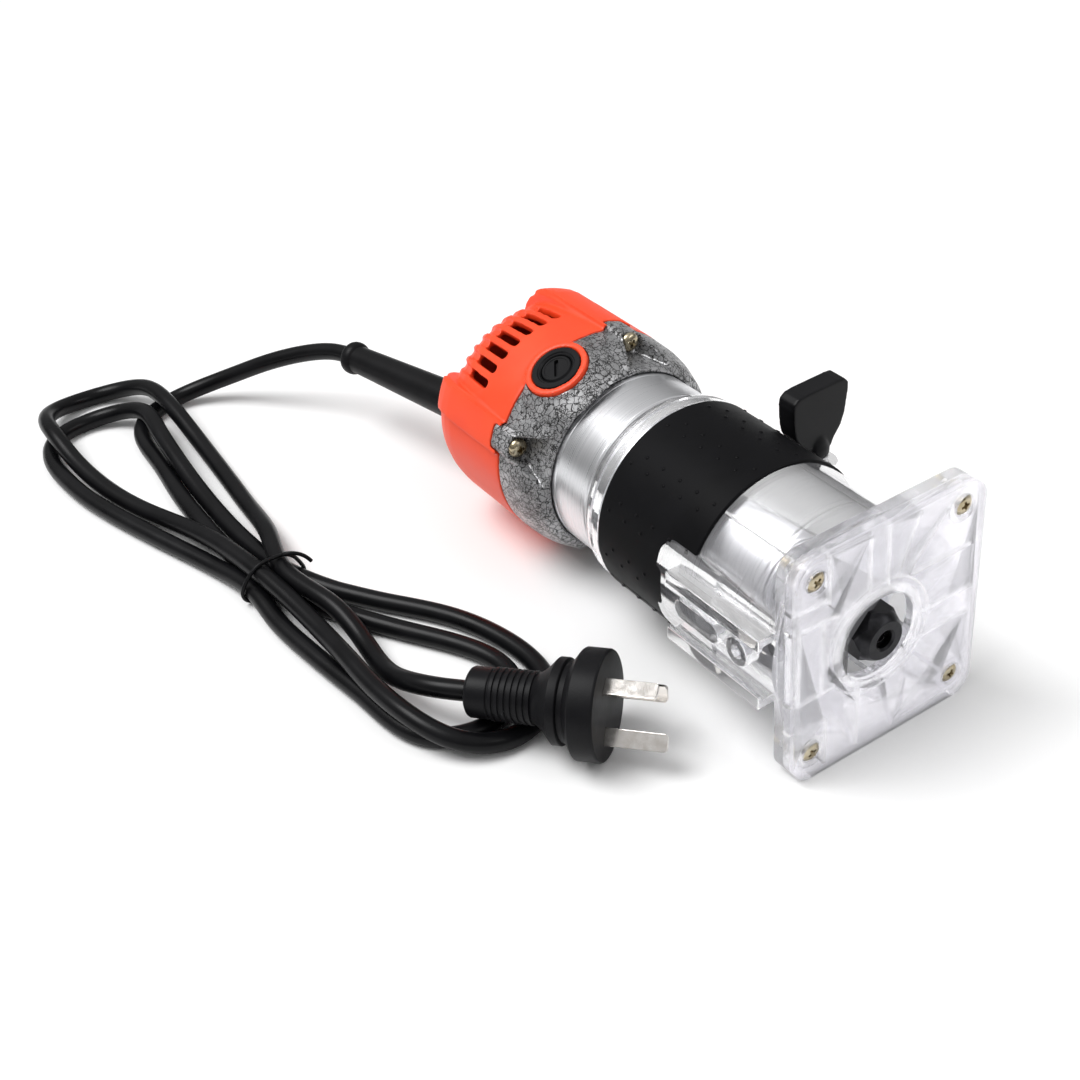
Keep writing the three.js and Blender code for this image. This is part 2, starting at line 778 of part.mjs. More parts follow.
function cordGuard() {
  const cone = revolve(
    [
      [-GUARD_LENGTH, 0],
      [-GUARD_LENGTH, 4.6],
      [-GUARD_LENGTH + 1.2, 6.4],
      [-GUARD_LENGTH + 3, 7],
      [-GUARD_LENGTH + 5, 6.8],
      [-GUARD_LENGTH + 6, 6],
      [3, 8],
      [3, 0],
    ],
    20,
  );
  const turn = new THREE.Quaternion().setFromUnitVectors(new THREE.Vector3(-1, 0, 0), GUARD_WAY);
  cone.applyQuaternion(turn);
  const outside = CAP_REAR - GAP;
  cone.translate(outside, 0, 0);
  const trimmed = cut(cone, box([outside, outside + 10], [-12, 12], [-12, 12]));
  const neck = rod(outside - 4, -209, GUARD_NECK_R, 16);
  const flange = rod(-209.7, -208, 7.2, 20);
  return join(trimmed, neck, flange).translate(0, ...GUARD_AT);
}

// A plain round cord along hand-chosen points [x, y, height above the surface].
function cordTube(points, steps) {
  const path = new THREE.CatmullRomCurve3(
    points.map(([x, y, height]) => new THREE.Vector3(x, y, height - AXIS_HEIGHT)),
    false,
    "centripetal",
  );
  const section = new THREE.Shape();
  for (let i = 0; i < CORD_SIDES; i += 1) {
    const angle = (2 * Math.PI * i) / CORD_SIDES;
    section[i ? "lineTo" : "moveTo"](CORD_R * Math.cos(angle), CORD_R * Math.sin(angle));
  }
  section.closePath();
  const tube = new THREE.ExtrudeGeometry(section, { steps, extrudePath: path, bevelEnabled: false });
  return geometryOf(solid(tube));
}

const CORD_RUN = [
  [-297.4, -34, 34.2],
  [-311, -38.5, 32.2],
  [-325, -47, 27.6],
  [-338, -57.5, 21.6],
  [-350, -67.5, 14.6],
  [-360, -78.6, 8.6],
  [-364.8, -89.5, 5.2],
  [-365.2, -95.6, 4.4],
];

const CORD_LEAD = [
  [-199.6, -118.4, 12],
  [-186, -117, 12],
  [-172, -115, 12],
  [-155, -114.2, 12],
  [-138, -115.8, 12],
  [-124, -116.9, 12.6],
  [-111, -115.2, 14.6],
  [-100.4, -110, 16.4],
  [-92.6, -103.9, 17.05],
];

// Outlines of the folded cord seen from above: two long loops, one on each side of the tie.
const HANK_LEFT = [
  [-212, -107],
  [-245, -106],
  [-285, -100],
  [-330, -97],
  [-368, -98.2],
  [-388, -104.4],
  [-398.4, -127],
  [-388, -149.6],
  [-366, -160.2],
  [-340, -163.6],
  [-315, -162.4],
  [-285, -155],
  [-245, -144],
  [-212, -136.6],
];
const HANK_RIGHT = [
  [-205, -109],
  [-190, -101.6],
  [-170, -89.6],
  [-148, -75.6],
  [-126, -67.6],
  [-102, -65.8],
  [-82, -73.4],
  [-71.8, -97],
  [-80, -119],
  [-100, -129.4],
  [-124, -132.4],
  [-168, -136.2],
  [-190, -137],
  [-205, -136.4],
];

function hankLayer(points, height) {
  const curve = new THREE.SplineCurve(points.map(([x, y]) => new THREE.Vector2(x, y)));
  const layer = extrude(new THREE.Shape(curve.getPoints(2 * points.length)), height);
  layer.translate(0, 0, -AXIS_HEIGHT);
  return layer;
}

function cordHank() {
  const neck = box([-213, -200], [-135, -107], [-AXIS_HEIGHT, 16 - AXIS_HEIGHT]);
  const crossed = hankLayer(HANK_LEFT, CROSSED_LOOP_HEIGHT);
  const loose = hankLayer(HANK_RIGHT, LOOSE_LOOP_HEIGHT);
  const body = join(crossed, neck, loose);
  const low = [-AXIS_HEIGHT - 1, -AXIS_HEIGHT + 1.8];
  return cut(body, box([HANK_TIE_X - 2.4, HANK_TIE_X + 2.4], [-150, -100], low));
}

function cordTie() {
  const floor = -AXIS_HEIGHT;
  const shape = outline([-137, -105], [floor + 0.2, floor + 17.6], 1.6, 2);
  shape.holes.push(outline([-135.4, -106.6], [floor + 1.5, floor + 16.4], 0.4, 1));
  return slab(shape, HANK_TIE_X - 1.2, HANK_TIE_X + 1.2);
}

const PINS = {
  plug_pin_left: { y: 7, z: 6.3, turn: 30, length: 18.5 },
  plug_pin_right: { y: -7, z: 6.3, turn: -30, length: 18.5 },
  plug_pin_earth: { y: 0, z: -10.3, turn: 0, length: 22 },
};

function flatPin({ y, z, turn, length }, clearance) {
  const half = [0.8 + clearance, 3.15 + clearance];
  const pin = box([-4 - clearance, length], [-half[0], half[0]], [-half[1], half[1]]);
  pin.rotateX(radians(turn)).translate(0, y, z);
  return turned(pin, PLUG_ROLL);
}

function plugBody() {
  const body = revolve(
    [
      [0, 0],
      [0, 18.6],
      [-1.2, PLUG_R],
      [PLUG_DISC_REAR, PLUG_R],
      [-12.2, 15.3],
      [-18, 15.3],
      [-24.6, 9.6],
      [PLUG_REAR + 1.6, 9.2],
      [PLUG_REAR, 7.6],
      [PLUG_REAR, 0],
    ],
    28,
  );
  return cut(body, ...Object.values(PINS).map((pin) => flatPin(pin, GAP)));
}

// ---------------------------------------------------------------- assembly
add(router, "motor_housing", motorHousing(), ALUMINIUM);
add(router, "front_cover", frontCover(), ALUMINIUM);
add(router, "brush_housing", brushHousing(), CRACKLE_GREY);
add(router, "end_cap", endCap(), ORANGE);
add(router, "bearing_bracket", bearingBracket(), BLACK);
SCREW_ANGLES.forEach((angle, i) => {
  const screw = panScrew(POCKET_FLOOR + 2.6 + GAP, 3.8, 2.6, 1.8, 16);
  screw.translate(0, 0, SCREW_CIRCLE);
  add(router, `case_screw_${i + 1}`, turned(screw, angle), ZINC);
});

add(router, "stator_core", turned(statorCore(), BRUSH_ANGLE), LAMINATION);
add(router, "field_coil_upper", turned(fieldCoil(1), BRUSH_ANGLE), COPPER);
add(router, "field_coil_lower", turned(fieldCoil(-1), BRUSH_ANGLE), COPPER);
bearing("front_bearing", FRONT_BEARING);
bearing("rear_bearing", REAR_BEARING);

add(router, "spindle", spindle(), STEEL);
add(router, "armature_core", ring(STACK_X[0] + 1, STACK_X[1] - 1, WINDING_BORE, 16, 24), LAMINATION);
add(router, "winding_front", winding(-66.7, -55), COPPER);
add(router, "winding_rear", winding(-126, -113.3), COPPER);
add(router, "commutator", ring(-165, -147, WINDING_BORE, 11, 24), COPPER);
add(router, "fan", fan(), BLACK);
["upper", "lower"].forEach((place, i) => {
  const angle = BRUSH_ANGLES[i];
  add(router, `brush_holder_${place}`, brushHolder(angle), BLACK);
  add(router, `carbon_brush_${place}`, carbonBrush(angle), CARBON);
  add(router, `brush_spring_${place}`, brushSpring(angle), STEEL);
  add(router, `brush_cap_${place}`, brushCap(angle), BLACK);
});

add(router, "collet", collet(), STEEL);
add(router, "collet_nut", colletNut(), OXIDE);

add(router, "base_body", baseBody(), CLEAR);
add(router, "sub_base", subBase(), CLEAR);
PLATE_SCREWS.forEach(([y, z], i) => {
  const screw = panScrew(-0.3, 3.9, 2.3, 1.6, 7);
  add(router, `base_screw_${i + 1}`, screw.translate(0, y, z), ZINC);
});
add(router, "grip_sleeve", gripSleeve(), RUBBER);

const clamp = new THREE.Group();
clamp.position.set(CLAMP_X, CLAMP_Y, 0);
router.add(clamp);
add(clamp, "clamp_knob", clampKnob(), BLACK);
const studRoom = upright(-20, 20, STUD_HOLE_R, 12);
add(clamp, "clamp_stud", upright(-16, 22.6, STUD_R, 12), STEEL);
add(clamp, "clamp_washer", cut(upright(EAR_TOP + GAP, EAR_TOP + 1.5, 6, 20), studRoom), STEEL);
add(clamp, "clamp_nut", cut(upright(-EAR_TOP - 4.3, -EAR_TOP - GAP, 4.6, 6), studRoom), STEEL);

const rockerSwitch = new THREE.Group();
rockerSwitch.position.set(0, ...ROCKER_AT);
router.add(rockerSwitch);
add(rockerSwitch, "switch_body", switchBody(), BLACK);
add(rockerSwitch, "switch_rocker", switchRocker(), BLACK).position.x = ROCKER_PIVOT_X;

add(router, "cord_guard", cordGuard(), RUBBER);
add(router, "cord_run", cordTube(CORD_RUN, 10), BLACK);
add(router, "cord_hank", cordHank(), BLACK);
add(router, "cord_tie", cordTie(), BLACK);
add(router, "cord_lead", cordTube(CORD_LEAD, 10), BLACK);

// The rim of the plug's disc rests on the surface.
const tilt = radians(PLUG_TILT);
const faceHeight = PLUG_R * Math.cos(tilt) - PLUG_DISC_REAR * Math.sin(tilt) + 0.05;
const plug = new THREE.Group();
plug.position.set(...PLUG_FACE, faceHeight - AXIS_HEIGHT);
plug.rotation.set(0, -tilt, radians(PLUG_TURN), "ZYX");
router.add(plug);
add(plug, "plug_body", plugBody(), BLACK);
for (const [name, pin] of Object.entries(PINS)) add(plug, name, flatPin(pin, 0), NICKEL);

export default router;
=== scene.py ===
"""Looks of a trim router that lies on its side, with its clear base, its folded cord and its plug.

Shapes are drawn in millimetres in the router's own frame: the spindle is the X axis, +X points out of
the sole, the guide rails are on the -Y side and Z is up. place() carries a finished piece to the row frame.
"""
import json
import math

import bmesh
import bpy
import numpy as np
from mathutils import Matrix, Vector


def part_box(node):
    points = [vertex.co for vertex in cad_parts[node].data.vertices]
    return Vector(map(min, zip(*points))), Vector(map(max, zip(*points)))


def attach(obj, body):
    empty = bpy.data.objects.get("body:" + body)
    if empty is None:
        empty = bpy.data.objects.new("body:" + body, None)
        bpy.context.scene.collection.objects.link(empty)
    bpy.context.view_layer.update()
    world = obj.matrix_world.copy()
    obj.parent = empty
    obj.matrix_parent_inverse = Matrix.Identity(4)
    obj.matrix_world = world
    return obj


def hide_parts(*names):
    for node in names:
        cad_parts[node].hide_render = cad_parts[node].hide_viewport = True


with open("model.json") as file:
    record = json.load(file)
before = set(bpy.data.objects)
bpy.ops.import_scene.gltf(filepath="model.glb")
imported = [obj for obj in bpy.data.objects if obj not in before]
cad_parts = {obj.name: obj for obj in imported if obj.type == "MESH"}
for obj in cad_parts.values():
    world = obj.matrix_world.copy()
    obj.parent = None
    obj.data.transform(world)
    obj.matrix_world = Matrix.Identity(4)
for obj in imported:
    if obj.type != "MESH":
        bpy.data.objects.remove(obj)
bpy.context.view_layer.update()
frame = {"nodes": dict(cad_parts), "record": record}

# ---------------------------------------------------------------- the router's own frame
MM = 0.001
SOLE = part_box("sub_base")
BARREL_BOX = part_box("motor_housing")
BARREL_CENTRE = (BARREL_BOX[0] + BARREL_BOX[1]) / 2
ORIGIN = Vector((SOLE[1].x, BARREL_CENTRE.y, BARREL_CENTRE.z))
TO_WORLD = Matrix.Translation(ORIGIN) @ Matrix.Scale(MM, 4)
TO_ROUTER = TO_WORLD.inverted()


def span(node, axis):
    """Where a CAD node starts and ends along an axis, in millimetres in the router's frame."""
    low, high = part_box(node)
    return (TO_ROUTER @ low)[axis], (TO_ROUTER @ high)[axis]


def middle(node):
    low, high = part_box(node)
    return TO_ROUTER @ ((low + high) / 2)


X, Y, Z = 0, 1, 2
FLOOR = (TO_ROUTER @ Vector((0, 0, 0)))[Z]
AXIS_HEIGHT = -FLOOR
GAP = 0.3  # clearance between pieces that touch

BARREL_REAR, BARREL_FRONT = span("motor_housing", X)
BARREL_R = span("motor_housing", Z)[1]
BRACKET_REAR, BRACKET_FRONT = span("brush_housing", X)
CAP_REAR = span("end_cap", X)[0]
BASE_REAR, FLANGE_FRONT = span("base_body", X)
GRIP_REAR, GRIP_FRONT = span("grip_sleeve", X)
PLATE_Y = span("sub_base", Y)
PLATE_Z = span("sub_base", Z)
PLATE_BACK = span("sub_base", X)[0]
NUT_REAR, NUT_FRONT = span("collet_nut", X)
CLAMP = middle("clamp_stud")
SCREWS = (1, 2, 3, 4)
SIDES = ("upper", "lower")


def angle_of(node):
    """Degrees round the spindle from +Z towards -Y."""
    centre = middle(node)
    return math.degrees(math.atan2(-centre.y, centre.z))


SCREW_ANGLES = {i: angle_of(f"case_screw_{i}") for i in SCREWS}
BRUSH_ANGLES = {side: angle_of(f"brush_cap_{side}") for side in SIDES}
BRUSH_X = middle("brush_cap_upper").x


# ---------------------------------------------------------------- meshes
def new_object(name, mesh):
    piece = bpy.data.objects.new(name, mesh)
    bpy.context.scene.collection.objects.link(piece)
    return piece


def from_bmesh(bm, name="part"):
    bmesh.ops.recalc_face_normals(bm, faces=bm.faces)
    mesh = bpy.data.meshes.new(name)
    bm.to_mesh(mesh)
    bm.free()
    return new_object(name, mesh)


def lathe(profile, steps=128):
    """A closed body of revolution round the X axis. Each profile point is (x, radius)."""
    bm = bmesh.new()
    rings = []
    for x, radius in profile:
        if radius == 0:
            rings.append([bm.verts.new((x, 0, 0))])
            continue
        turns = [2 * math.pi * i / steps for i in range(steps)]
        rings.append([bm.verts.new((x, radius * math.sin(t), radius * math.cos(t))) for t in turns])
    if len(rings[0]) > 1 or len(rings[-1]) > 1:
        rings.append(rings[0])
    for first, second in zip(rings, rings[1:]):
        for i in range(steps if len(first) + len(second) > 2 else 0):
            j = (i + 1) % steps
            if len(first) == 1:
                corners = (first[0], second[j], second[i])
            elif len(second) == 1:
                corners = (first[i], first[j], second[0])
            else:
                corners = (first[i], first[j], second[j], second[i])
            bm.faces.new(corners)
    return from_bmesh(bm)


def prism(outline, low, high, matrix=Matrix()):
    """An outline drawn in X and Y, as a solid from one height to another, then moved by a matrix."""
    bm = bmesh.new()
    face = bm.faces.new([bm.verts.new((x, y, low)) for x, y in outline])
    raised = bmesh.ops.extrude_face_region(bm, geom=[face])["geom"]
    top = [v for v in raised if isinstance(v, bmesh.types.BMVert)]
    bmesh.ops.translate(bm, verts=top, vec=(0, 0, high - low))
    bm.transform(matrix)
    return from_bmesh(bm)


# An outline's own X, Y and Z become the router's Y, Z and X.
ACROSS_X = Matrix(((0, 0, 1, 0), (1, 0, 0, 0), (0, 1, 0, 0), (0, 0, 0, 1)))
# An outline's own X, Y and Z become the router's X, Z and -Y.
ACROSS_Y = Matrix(((1, 0, 0, 0), (0, 0, -1, 0), (0, 1, 0, 0), (0, 0, 0, 1)))


def slab(outline, x0, x1):
    return prism(outline, x0, x1, ACROSS_X)


def box(x, y, z):
    return prism([(x[0], y[0]), (x[1], y[0]), (x[1], y[1]), (x[0], y[1])], *z)


def arc(x, y, radius, start, end, steps):
    turns = [math.radians(start + (end - start) * i / steps) for i in range(steps + 1)]
    return [(x + radius * math.cos(t), y + radius * math.sin(t)) for t in turns]


def rounded(x, y, radius, steps=6):
    """A rectangle with round corners."""
    return [
        *arc(x[1] - radius, y[1] - radius, radius, 0, 90, steps),
        *arc(x[0] + radius, y[1] - radius, radius, 90, 180, steps),
        *arc(x[0] + radius, y[0] + radius, radius, 180, 270, steps),
        *arc(x[1] - radius, y[0] + radius, radius, 270, 360, steps),
    ]


def circle(x, y, radius, steps=48):
    return arc(x, y, radius, 0, 360, steps)[:-1]


def bar(start, end, width):
    """The outline of a straight bar from one point to another."""
    a, b = Vector(start), Vector(end)
    side = (b - a).normalized().orthogonal() * width / 2
    return [tuple(p) for p in (a + side, b + side, b - side, a - side)]


def rod(x0, x1, radius, steps=64):
    return lathe([(x0, 0), (x0, radius), (x1, radius), (x1, 0)], steps)


def move(piece, matrix):
    piece.data.transform(matrix)
    if matrix.determinant() < 0:
        piece.data.flip_normals()
    return piece


def shift(piece, x=0, y=0, z=0):
    return move(piece, Matrix.Translation((x, y, z)))


def turn(piece, degrees, axis="X"):
    return move(piece, Matrix.Rotation(math.radians(degrees), 4, axis))


def to_radius(piece, x, angle):
    """Carries a piece made along +X to a place where +X is the outward radius at an angle."""
    turn(piece, -90, "Y")
    return turn(shift(piece, x), angle)


def radial_rod(x, angle, low, high, radius, steps=64):
    return to_radius(rod(low, high, radius, steps), x, angle)


def bake(piece):
    """Replaces a piece's mesh by the result of its modifiers."""
    graph = bpy.context.evaluated_depsgraph_get()
    mesh = bpy.data.meshes.new_from_object(piece.evaluated_get(graph))
    piece.modifiers.clear()
    piece.data = mesh
    return piece


def combine(operation, piece, tools):
    for tool in tools:
        modifier = piece.modifiers.new("combine", "BOOLEAN")
        modifier.operation = operation
        modifier.solver = "MANIFOLD"
        modifier.object = tool
    bake(piece)
    for tool in tools:
        bpy.data.objects.remove(tool)
    return piece


def join(piece, *tools):
    return combine("UNION", piece, tools)


def cut(piece, *tools):
    return combine("DIFFERENCE", piece, tools)


def common(piece, tool):
    return combine("INTERSECT", piece, [tool])


def loose_join(piece, *others):
    """Several closed bodies in one mesh."""
    bm = bmesh.new()
    for part in (piece, *others):
        bm.from_mesh(part.data)
    for part in others:
        bpy.data.objects.remove(part)
    bm.to_mesh(piece.data)
    bm.free()
    return piece


def bevel(piece, width, segments=2, angle=35):
    modifier = piece.modifiers.new("bevel", "BEVEL")
    modifier.width = width
    modifier.segments = segments
    modifier.limit_method = "ANGLE"
    modifier.angle_limit = math.radians(angle)
    modifier.miter_outer = "MITER_ARC"
    return bake(piece)


def soften(piece, voxel, rounds, keep):
    """Rounds every edge of a moulded or cast piece, then thins the mesh to a share of its faces."""
    remesh = piece.modifiers.new("remesh", "REMESH")
    remesh.mode = "VOXEL"
    remesh.voxel_size = voxel
    smooth = piece.modifiers.new("smooth", "SMOOTH")
    smooth.factor = 0.5
    smooth.iterations = rounds
    thin = piece.modifiers.new("thin", "DECIMATE")
    thin.ratio = keep
    return bake(piece)


def smooth_path(points, spacing=2.5):
    """Points of a natural cubic spline through given points."""
    knots = np.array(points, float)
    chords = np.linalg.norm(np.diff(knots, axis=0), axis=1) ** 0.5
    count = len(knots)
    matrix = np.eye(count)
    wanted = np.zeros((count, 3))
    for i in range(1, count - 1):
        before, after = chords[i - 1], chords[i]
        matrix[i, i - 1 : i + 2] = before, 2 * (before + after), after
        wanted[i] = 6 * ((knots[i + 1] - knots[i]) / after - (knots[i] - knots[i - 1]) / before)
    bend = np.linalg.solve(matrix, wanted)
    path = []
    for i, chord in enumerate(chords):
        steps = max(2, round(np.linalg.norm(knots[i + 1] - knots[i]) / spacing))
        for t in np.arange(steps) / steps:
            a, b = 1 - t, t
            curve = ((a**3 - a) * bend[i] + (b**3 - b) * bend[i + 1]) * chord**2 / 6
            path.append(a * knots[i] + b * knots[i + 1] + curve)
    return [*path, knots[-1]]


def tube(name, path, radius):
    """A round wire or cord along a path, as a curve of one open spline."""
    curve = bpy.data.curves.new(name, "CURVE")
    curve.dimensions = "3D"
    curve.bevel_depth = radius * MM
    curve.bevel_resolution = 6
    curve.use_fill_caps = True
    spline = curve.splines.new("POLY")
    spline.points.add(len(path) - 1)
    for point, position in zip(spline.points, path):
        point.co = (*(TO_WORLD @ Vector(position)), 1)
    spline.use_smooth = True
    return new_object(name, curve)


# ---------------------------------------------------------------- materials
def principled(name, color, roughness, metallic=0.0, **sockets):
    material = bpy.data.materials.new(name)
    material.use_nodes = True
    shader = material.node_tree.nodes["Principled BSDF"]
    shader.inputs["Base Color"].default_value = (*color, 1)
    shader.inputs["Roughness"].default_value = roughness
    shader.inputs["Metallic"].default_value = metallic
    for socket, value in sockets.items():
        shader.inputs[socket.replace("_", " ")].default_value = value
    return material


def node(material, kind, **settings):
    made = material.node_tree.nodes.new(kind)
    for key, value in settings.items():
        if key in made.inputs:
            made.inputs[key].default_value = value
        else:
            setattr(made, key, value)
    return made


def link(material, source, target):
    material.node_tree.links.new(source, target)


def shader_of(material):
    return material.node_tree.nodes["Principled BSDF"]


def position_of(material, stretch=(1, 1, 1)):
    """Surface position in metres, stretched."""
    coordinates = node(material, "ShaderNodeTexCoord")
    mapping = node(material, "ShaderNodeMapping")
    mapping.inputs["Scale"].default_value = stretch
    link(material, coordinates.outputs["Object"], mapping.inputs["Vector"])
    return mapping.outputs["Vector"]


def noise(material, scale, detail=3.0, stretch=(1, 1, 1)):
    texture = node(material, "ShaderNodeTexNoise", Scale=scale, Detail=detail)
    link(material, position_of(material, stretch), texture.inputs["Vector"])
    return texture.outputs["Fac"]


def ramp(material, source, low, high, positions=(0.3, 0.7)):
    """Turns a grey texture into a blend of two colours or greys."""
    made = node(material, "ShaderNodeValToRGB")
    stops = made.color_ramp.elements
    for stop, position, value in zip(stops, positions, (low, high)):
        stop.position = position
        stop.color = (*value, 1) if isinstance(value, tuple) else (value, value, value, 1)
    link(material, source, made.inputs["Fac"])
    return made.outputs["Color"]


def bump(material, height, strength, distance):
    made = node(material, "ShaderNodeBump", Strength=strength, Distance=distance)
    link(material, height, made.inputs["Height"])
    link(material, made.outputs["Normal"], shader_of(material).inputs["Normal"])
    return material


def vary(material, low, high, scale, roughness):
    """Blends two close colours and two close roughnesses by a soft noise."""
    cloud = noise(material, scale)
    link(material, ramp(material, cloud, low, high), shader_of(material).inputs["Base Color"])
    link(material, ramp(material, cloud, *roughness), shader_of(material).inputs["Roughness"])
    return material


def moulded(name, low, high, roughness, grain=2500, depth=0.00004, **sockets):
    """Plastic or rubber with a fine grain."""
    material = vary(principled(name, low, roughness[0], **sockets), low, high, 60, roughness)
    return bump(material, noise(material, grain, 2.0), 0.35, depth)


def turned_metal(name, low, high, roughness, lines=3000):
    """Metal with fine lines round the X axis."""
    material = principled(name, low, roughness[0], 1.0)
    fine = noise(material, 1.0, 4.0, (lines, 12, 12))
    link(material, ramp(material, fine, low, high), shader_of(material).inputs["Base Color"])
    link(material, ramp(material, fine, *roughness), shader_of(material).inputs["Roughness"])
    return bump(material, fine, 0.12, 0.00002)


def cast_metal(name, low, high, roughness):
    """Metal with a soft uneven sheen."""
    material = vary(principled(name, low, roughness[0], 1.0), low, high, 400, roughness)
    return bump(material, noise(material, 1800, 3.0), 0.2, 0.00002)


def crackle_paint():
    """Silver-grey paint that has shrunk into small islands over black."""
    paint = principled("crackle_paint", (0.2, 0.2, 0.2), 0.4, Specular_IOR_Level=0.6)
    place_on = position_of(paint)
    warp = node(paint, "ShaderNodeTexNoise", Scale=420.0, Detail=3.0)
    link(paint, place_on, warp.inputs["Vector"])
    centred = node(paint, "ShaderNodeVectorMath", operation="SUBTRACT")
    centred.inputs[1].default_value = (0.5, 0.5, 0.5)
    link(paint, warp.outputs["Color"], centred.inputs[0])
    small = node(paint, "ShaderNodeVectorMath", operation="SCALE", Scale=0.0034)
    link(paint, centred.outputs["Vector"], small.inputs[0])
    warped = node(paint, "ShaderNodeVectorMath", operation="ADD")
    link(paint, place_on, warped.inputs[0])
    link(paint, small.outputs["Vector"], warped.inputs[1])
    cracks = []
    for scale, width in ((400.0, 0.07), (760.0, 0.065)):
        cells = node(paint, "ShaderNodeTexVoronoi", feature="DISTANCE_TO_EDGE", Scale=scale)
        link(paint, warped.outputs["Vector"], cells.inputs["Vector"])
        cracks.append(ramp(paint, cells.outputs["Distance"], 0.0, 1.0, (width * 0.45, width)))
    # The finer cracks only open in patches.
    patches = ramp(paint, noise(paint, 230.0, 2.0), 0.0, 1.0, (0.5, 0.58))
    fine = node(paint, "ShaderNodeMath", operation="MAXIMUM")
    link(paint, cracks[1], fine.inputs[0])
    link(paint, patches, fine.inputs[1])
    islands = node(paint, "ShaderNodeMath", operation="MULTIPLY")
    link(paint, cracks[0], islands.inputs[0])
    link(paint, fine.outputs["Value"], islands.inputs[1])
    silver = ramp(paint, noise(paint, 90.0), (0.3, 0.3, 0.305), (0.52, 0.52, 0.53))
    mix = node(paint, "ShaderNodeMix", data_type="RGBA")
    link(paint, islands.outputs["Value"], mix.inputs["Factor"])
    mix.inputs[6].default_value = (0.006, 0.006, 0.006, 1)
    link(paint, silver, mix.inputs[7])
    link(paint, mix.outputs[2], shader_of(paint).inputs["Base Color"])
    link(paint, ramp(paint, islands.outputs["Value"], 0.0, 0.75, (0, 1)), shader_of(paint).inputs["Metallic"])
    return bump(paint, islands.outputs["Value"], 0.8, 0.00025)


def clear_plastic():
    clear = principled(
        "clear_plastic",
        (0.99, 0.985, 0.995),
        0.02,
        IOR=1.46,
        Transmission_Weight=1.0,
        Alpha=0.75,
        # The faint emission is painted light: a glow on the clear parts that stands in for the light they would gather
        # and pass on, which the renderer leaves out.
        Emission_Color=(0.95, 0.95, 1.0, 1.0),
        Emission_Strength=0.05,
        Specular_IOR_Level=0.6,
    )
    faint = noise(clear, 120, 2.0)
    link(clear, ramp(clear, faint, 0.0, 0.03), shader_of(clear).inputs["Roughness"])
    return bump(clear, noise(clear, 60, 1.0), 0.02, 0.0002)


def grip_rubber():
    return moulded(
        "grip_rubber", (0.003, 0.003, 0.0035), (0.005, 0.005, 0.006), (0.42, 0.54), 1500, Specular_IOR_Level=0.08
    )


MATERIALS = {
    "polished_aluminium": turned_metal("polished_aluminium", (0.74, 0.75, 0.77), (0.88, 0.88, 0.9), (0.26, 0.36)),
    "crackle_paint": crackle_paint(),
    "orange_plastic": moulded("orange_plastic", (0.93, 0.062, 0.012), (0.96, 0.075, 0.016), (0.42, 0.5), 2200),
    "black_plastic": moulded("black_plastic", (0.005, 0.005, 0.006), (0.009, 0.009, 0.01), (0.34, 0.48), Specular_IOR_Level=0.15),
    "grip_rubber": grip_rubber(),
    "cord_rubber": moulded("cord_rubber", (0.004, 0.004, 0.0045), (0.007, 0.007, 0.008), (0.34, 0.44), Specular_IOR_Level=0.14),
    "cord_jacket": moulded("cord_jacket", (0.003, 0.003, 0.0035), (0.006, 0.006, 0.007), (0.26, 0.36), 900, Specular_IOR_Level=0.16),
    "plug_plastic": moulded("plug_plastic", (0.005, 0.005, 0.006), (0.009, 0.009, 0.01), (0.38, 0.5), 1300, 0.0001, Specular_IOR_Level=0.12),
    "clear_plastic": clear_plastic(),
    "zinc_screw": cast_metal("zinc_screw", (0.4, 0.33, 0.21), (0.58, 0.52, 0.39), (0.2, 0.34)),
    "steel": turned_metal("steel", (0.48, 0.48, 0.49), (0.62, 0.62, 0.63), (0.22, 0.34)),
    "black_oxide": cast_metal("black_oxide", (0.02, 0.02, 0.022), (0.035, 0.035, 0.038), (0.3, 0.42)),
    "lamination": turned_metal("lamination", (0.2, 0.2, 0.21), (0.34, 0.34, 0.35), (0.4, 0.55), 6000),
    "copper": cast_metal("copper", (0.6, 0.22, 0.09), (0.75, 0.33, 0.15), (0.3, 0.42)),
    "brass": cast_metal("brass", (0.6, 0.43, 0.16), (0.72, 0.55, 0.25), (0.28, 0.4)),
    "carbon": moulded("carbon", (0.02, 0.02, 0.02), (0.035, 0.035, 0.035), (0.5, 0.65)),
    "nickel": cast_metal("nickel", (0.74, 0.7, 0.66), (0.84, 0.81, 0.78), (0.16, 0.26)),
}


def finish_piece(piece, name, body, slot, *nodes, smooth_angle=35):
    """Names a piece, carries it to the row frame, ties it to its body and material and hides the CAD nodes it stands
    for.
    """
    piece.name = name
    piece.data.name = name
    piece.data.materials.clear()
    piece.data.materials.append(MATERIALS[slot])
    if piece.type == "MESH":
        piece.data.transform(TO_WORLD)
        bm = bmesh.new()
        bm.from_mesh(piece.data)
        bmesh.ops.recalc_face_normals(bm, faces=bm.faces)
        bm.to_mesh(piece.data)
        bm.free()
        for face in piece.data.polygons:
            face.use_smooth = True
        piece.data.set_sharp_from_angle(angle=math.radians(smooth_angle))
        flat = piece.modifiers.new("flat", "WEIGHTED_NORMAL")
        flat.keep_sharp = True
        bake(piece)
        piece.data.name = name
    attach(piece, body)
    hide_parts(*nodes)
    return piece


# ---------------------------------------------------------------- camera and light
CAMERA_AT = Vector((0.4165, -0.3230, 0.4120))
AZIMUTH, ELEVATION, ROLL = (math.radians(a) for a in (58.52, 36.24, -5.09))
LENS = 57.4


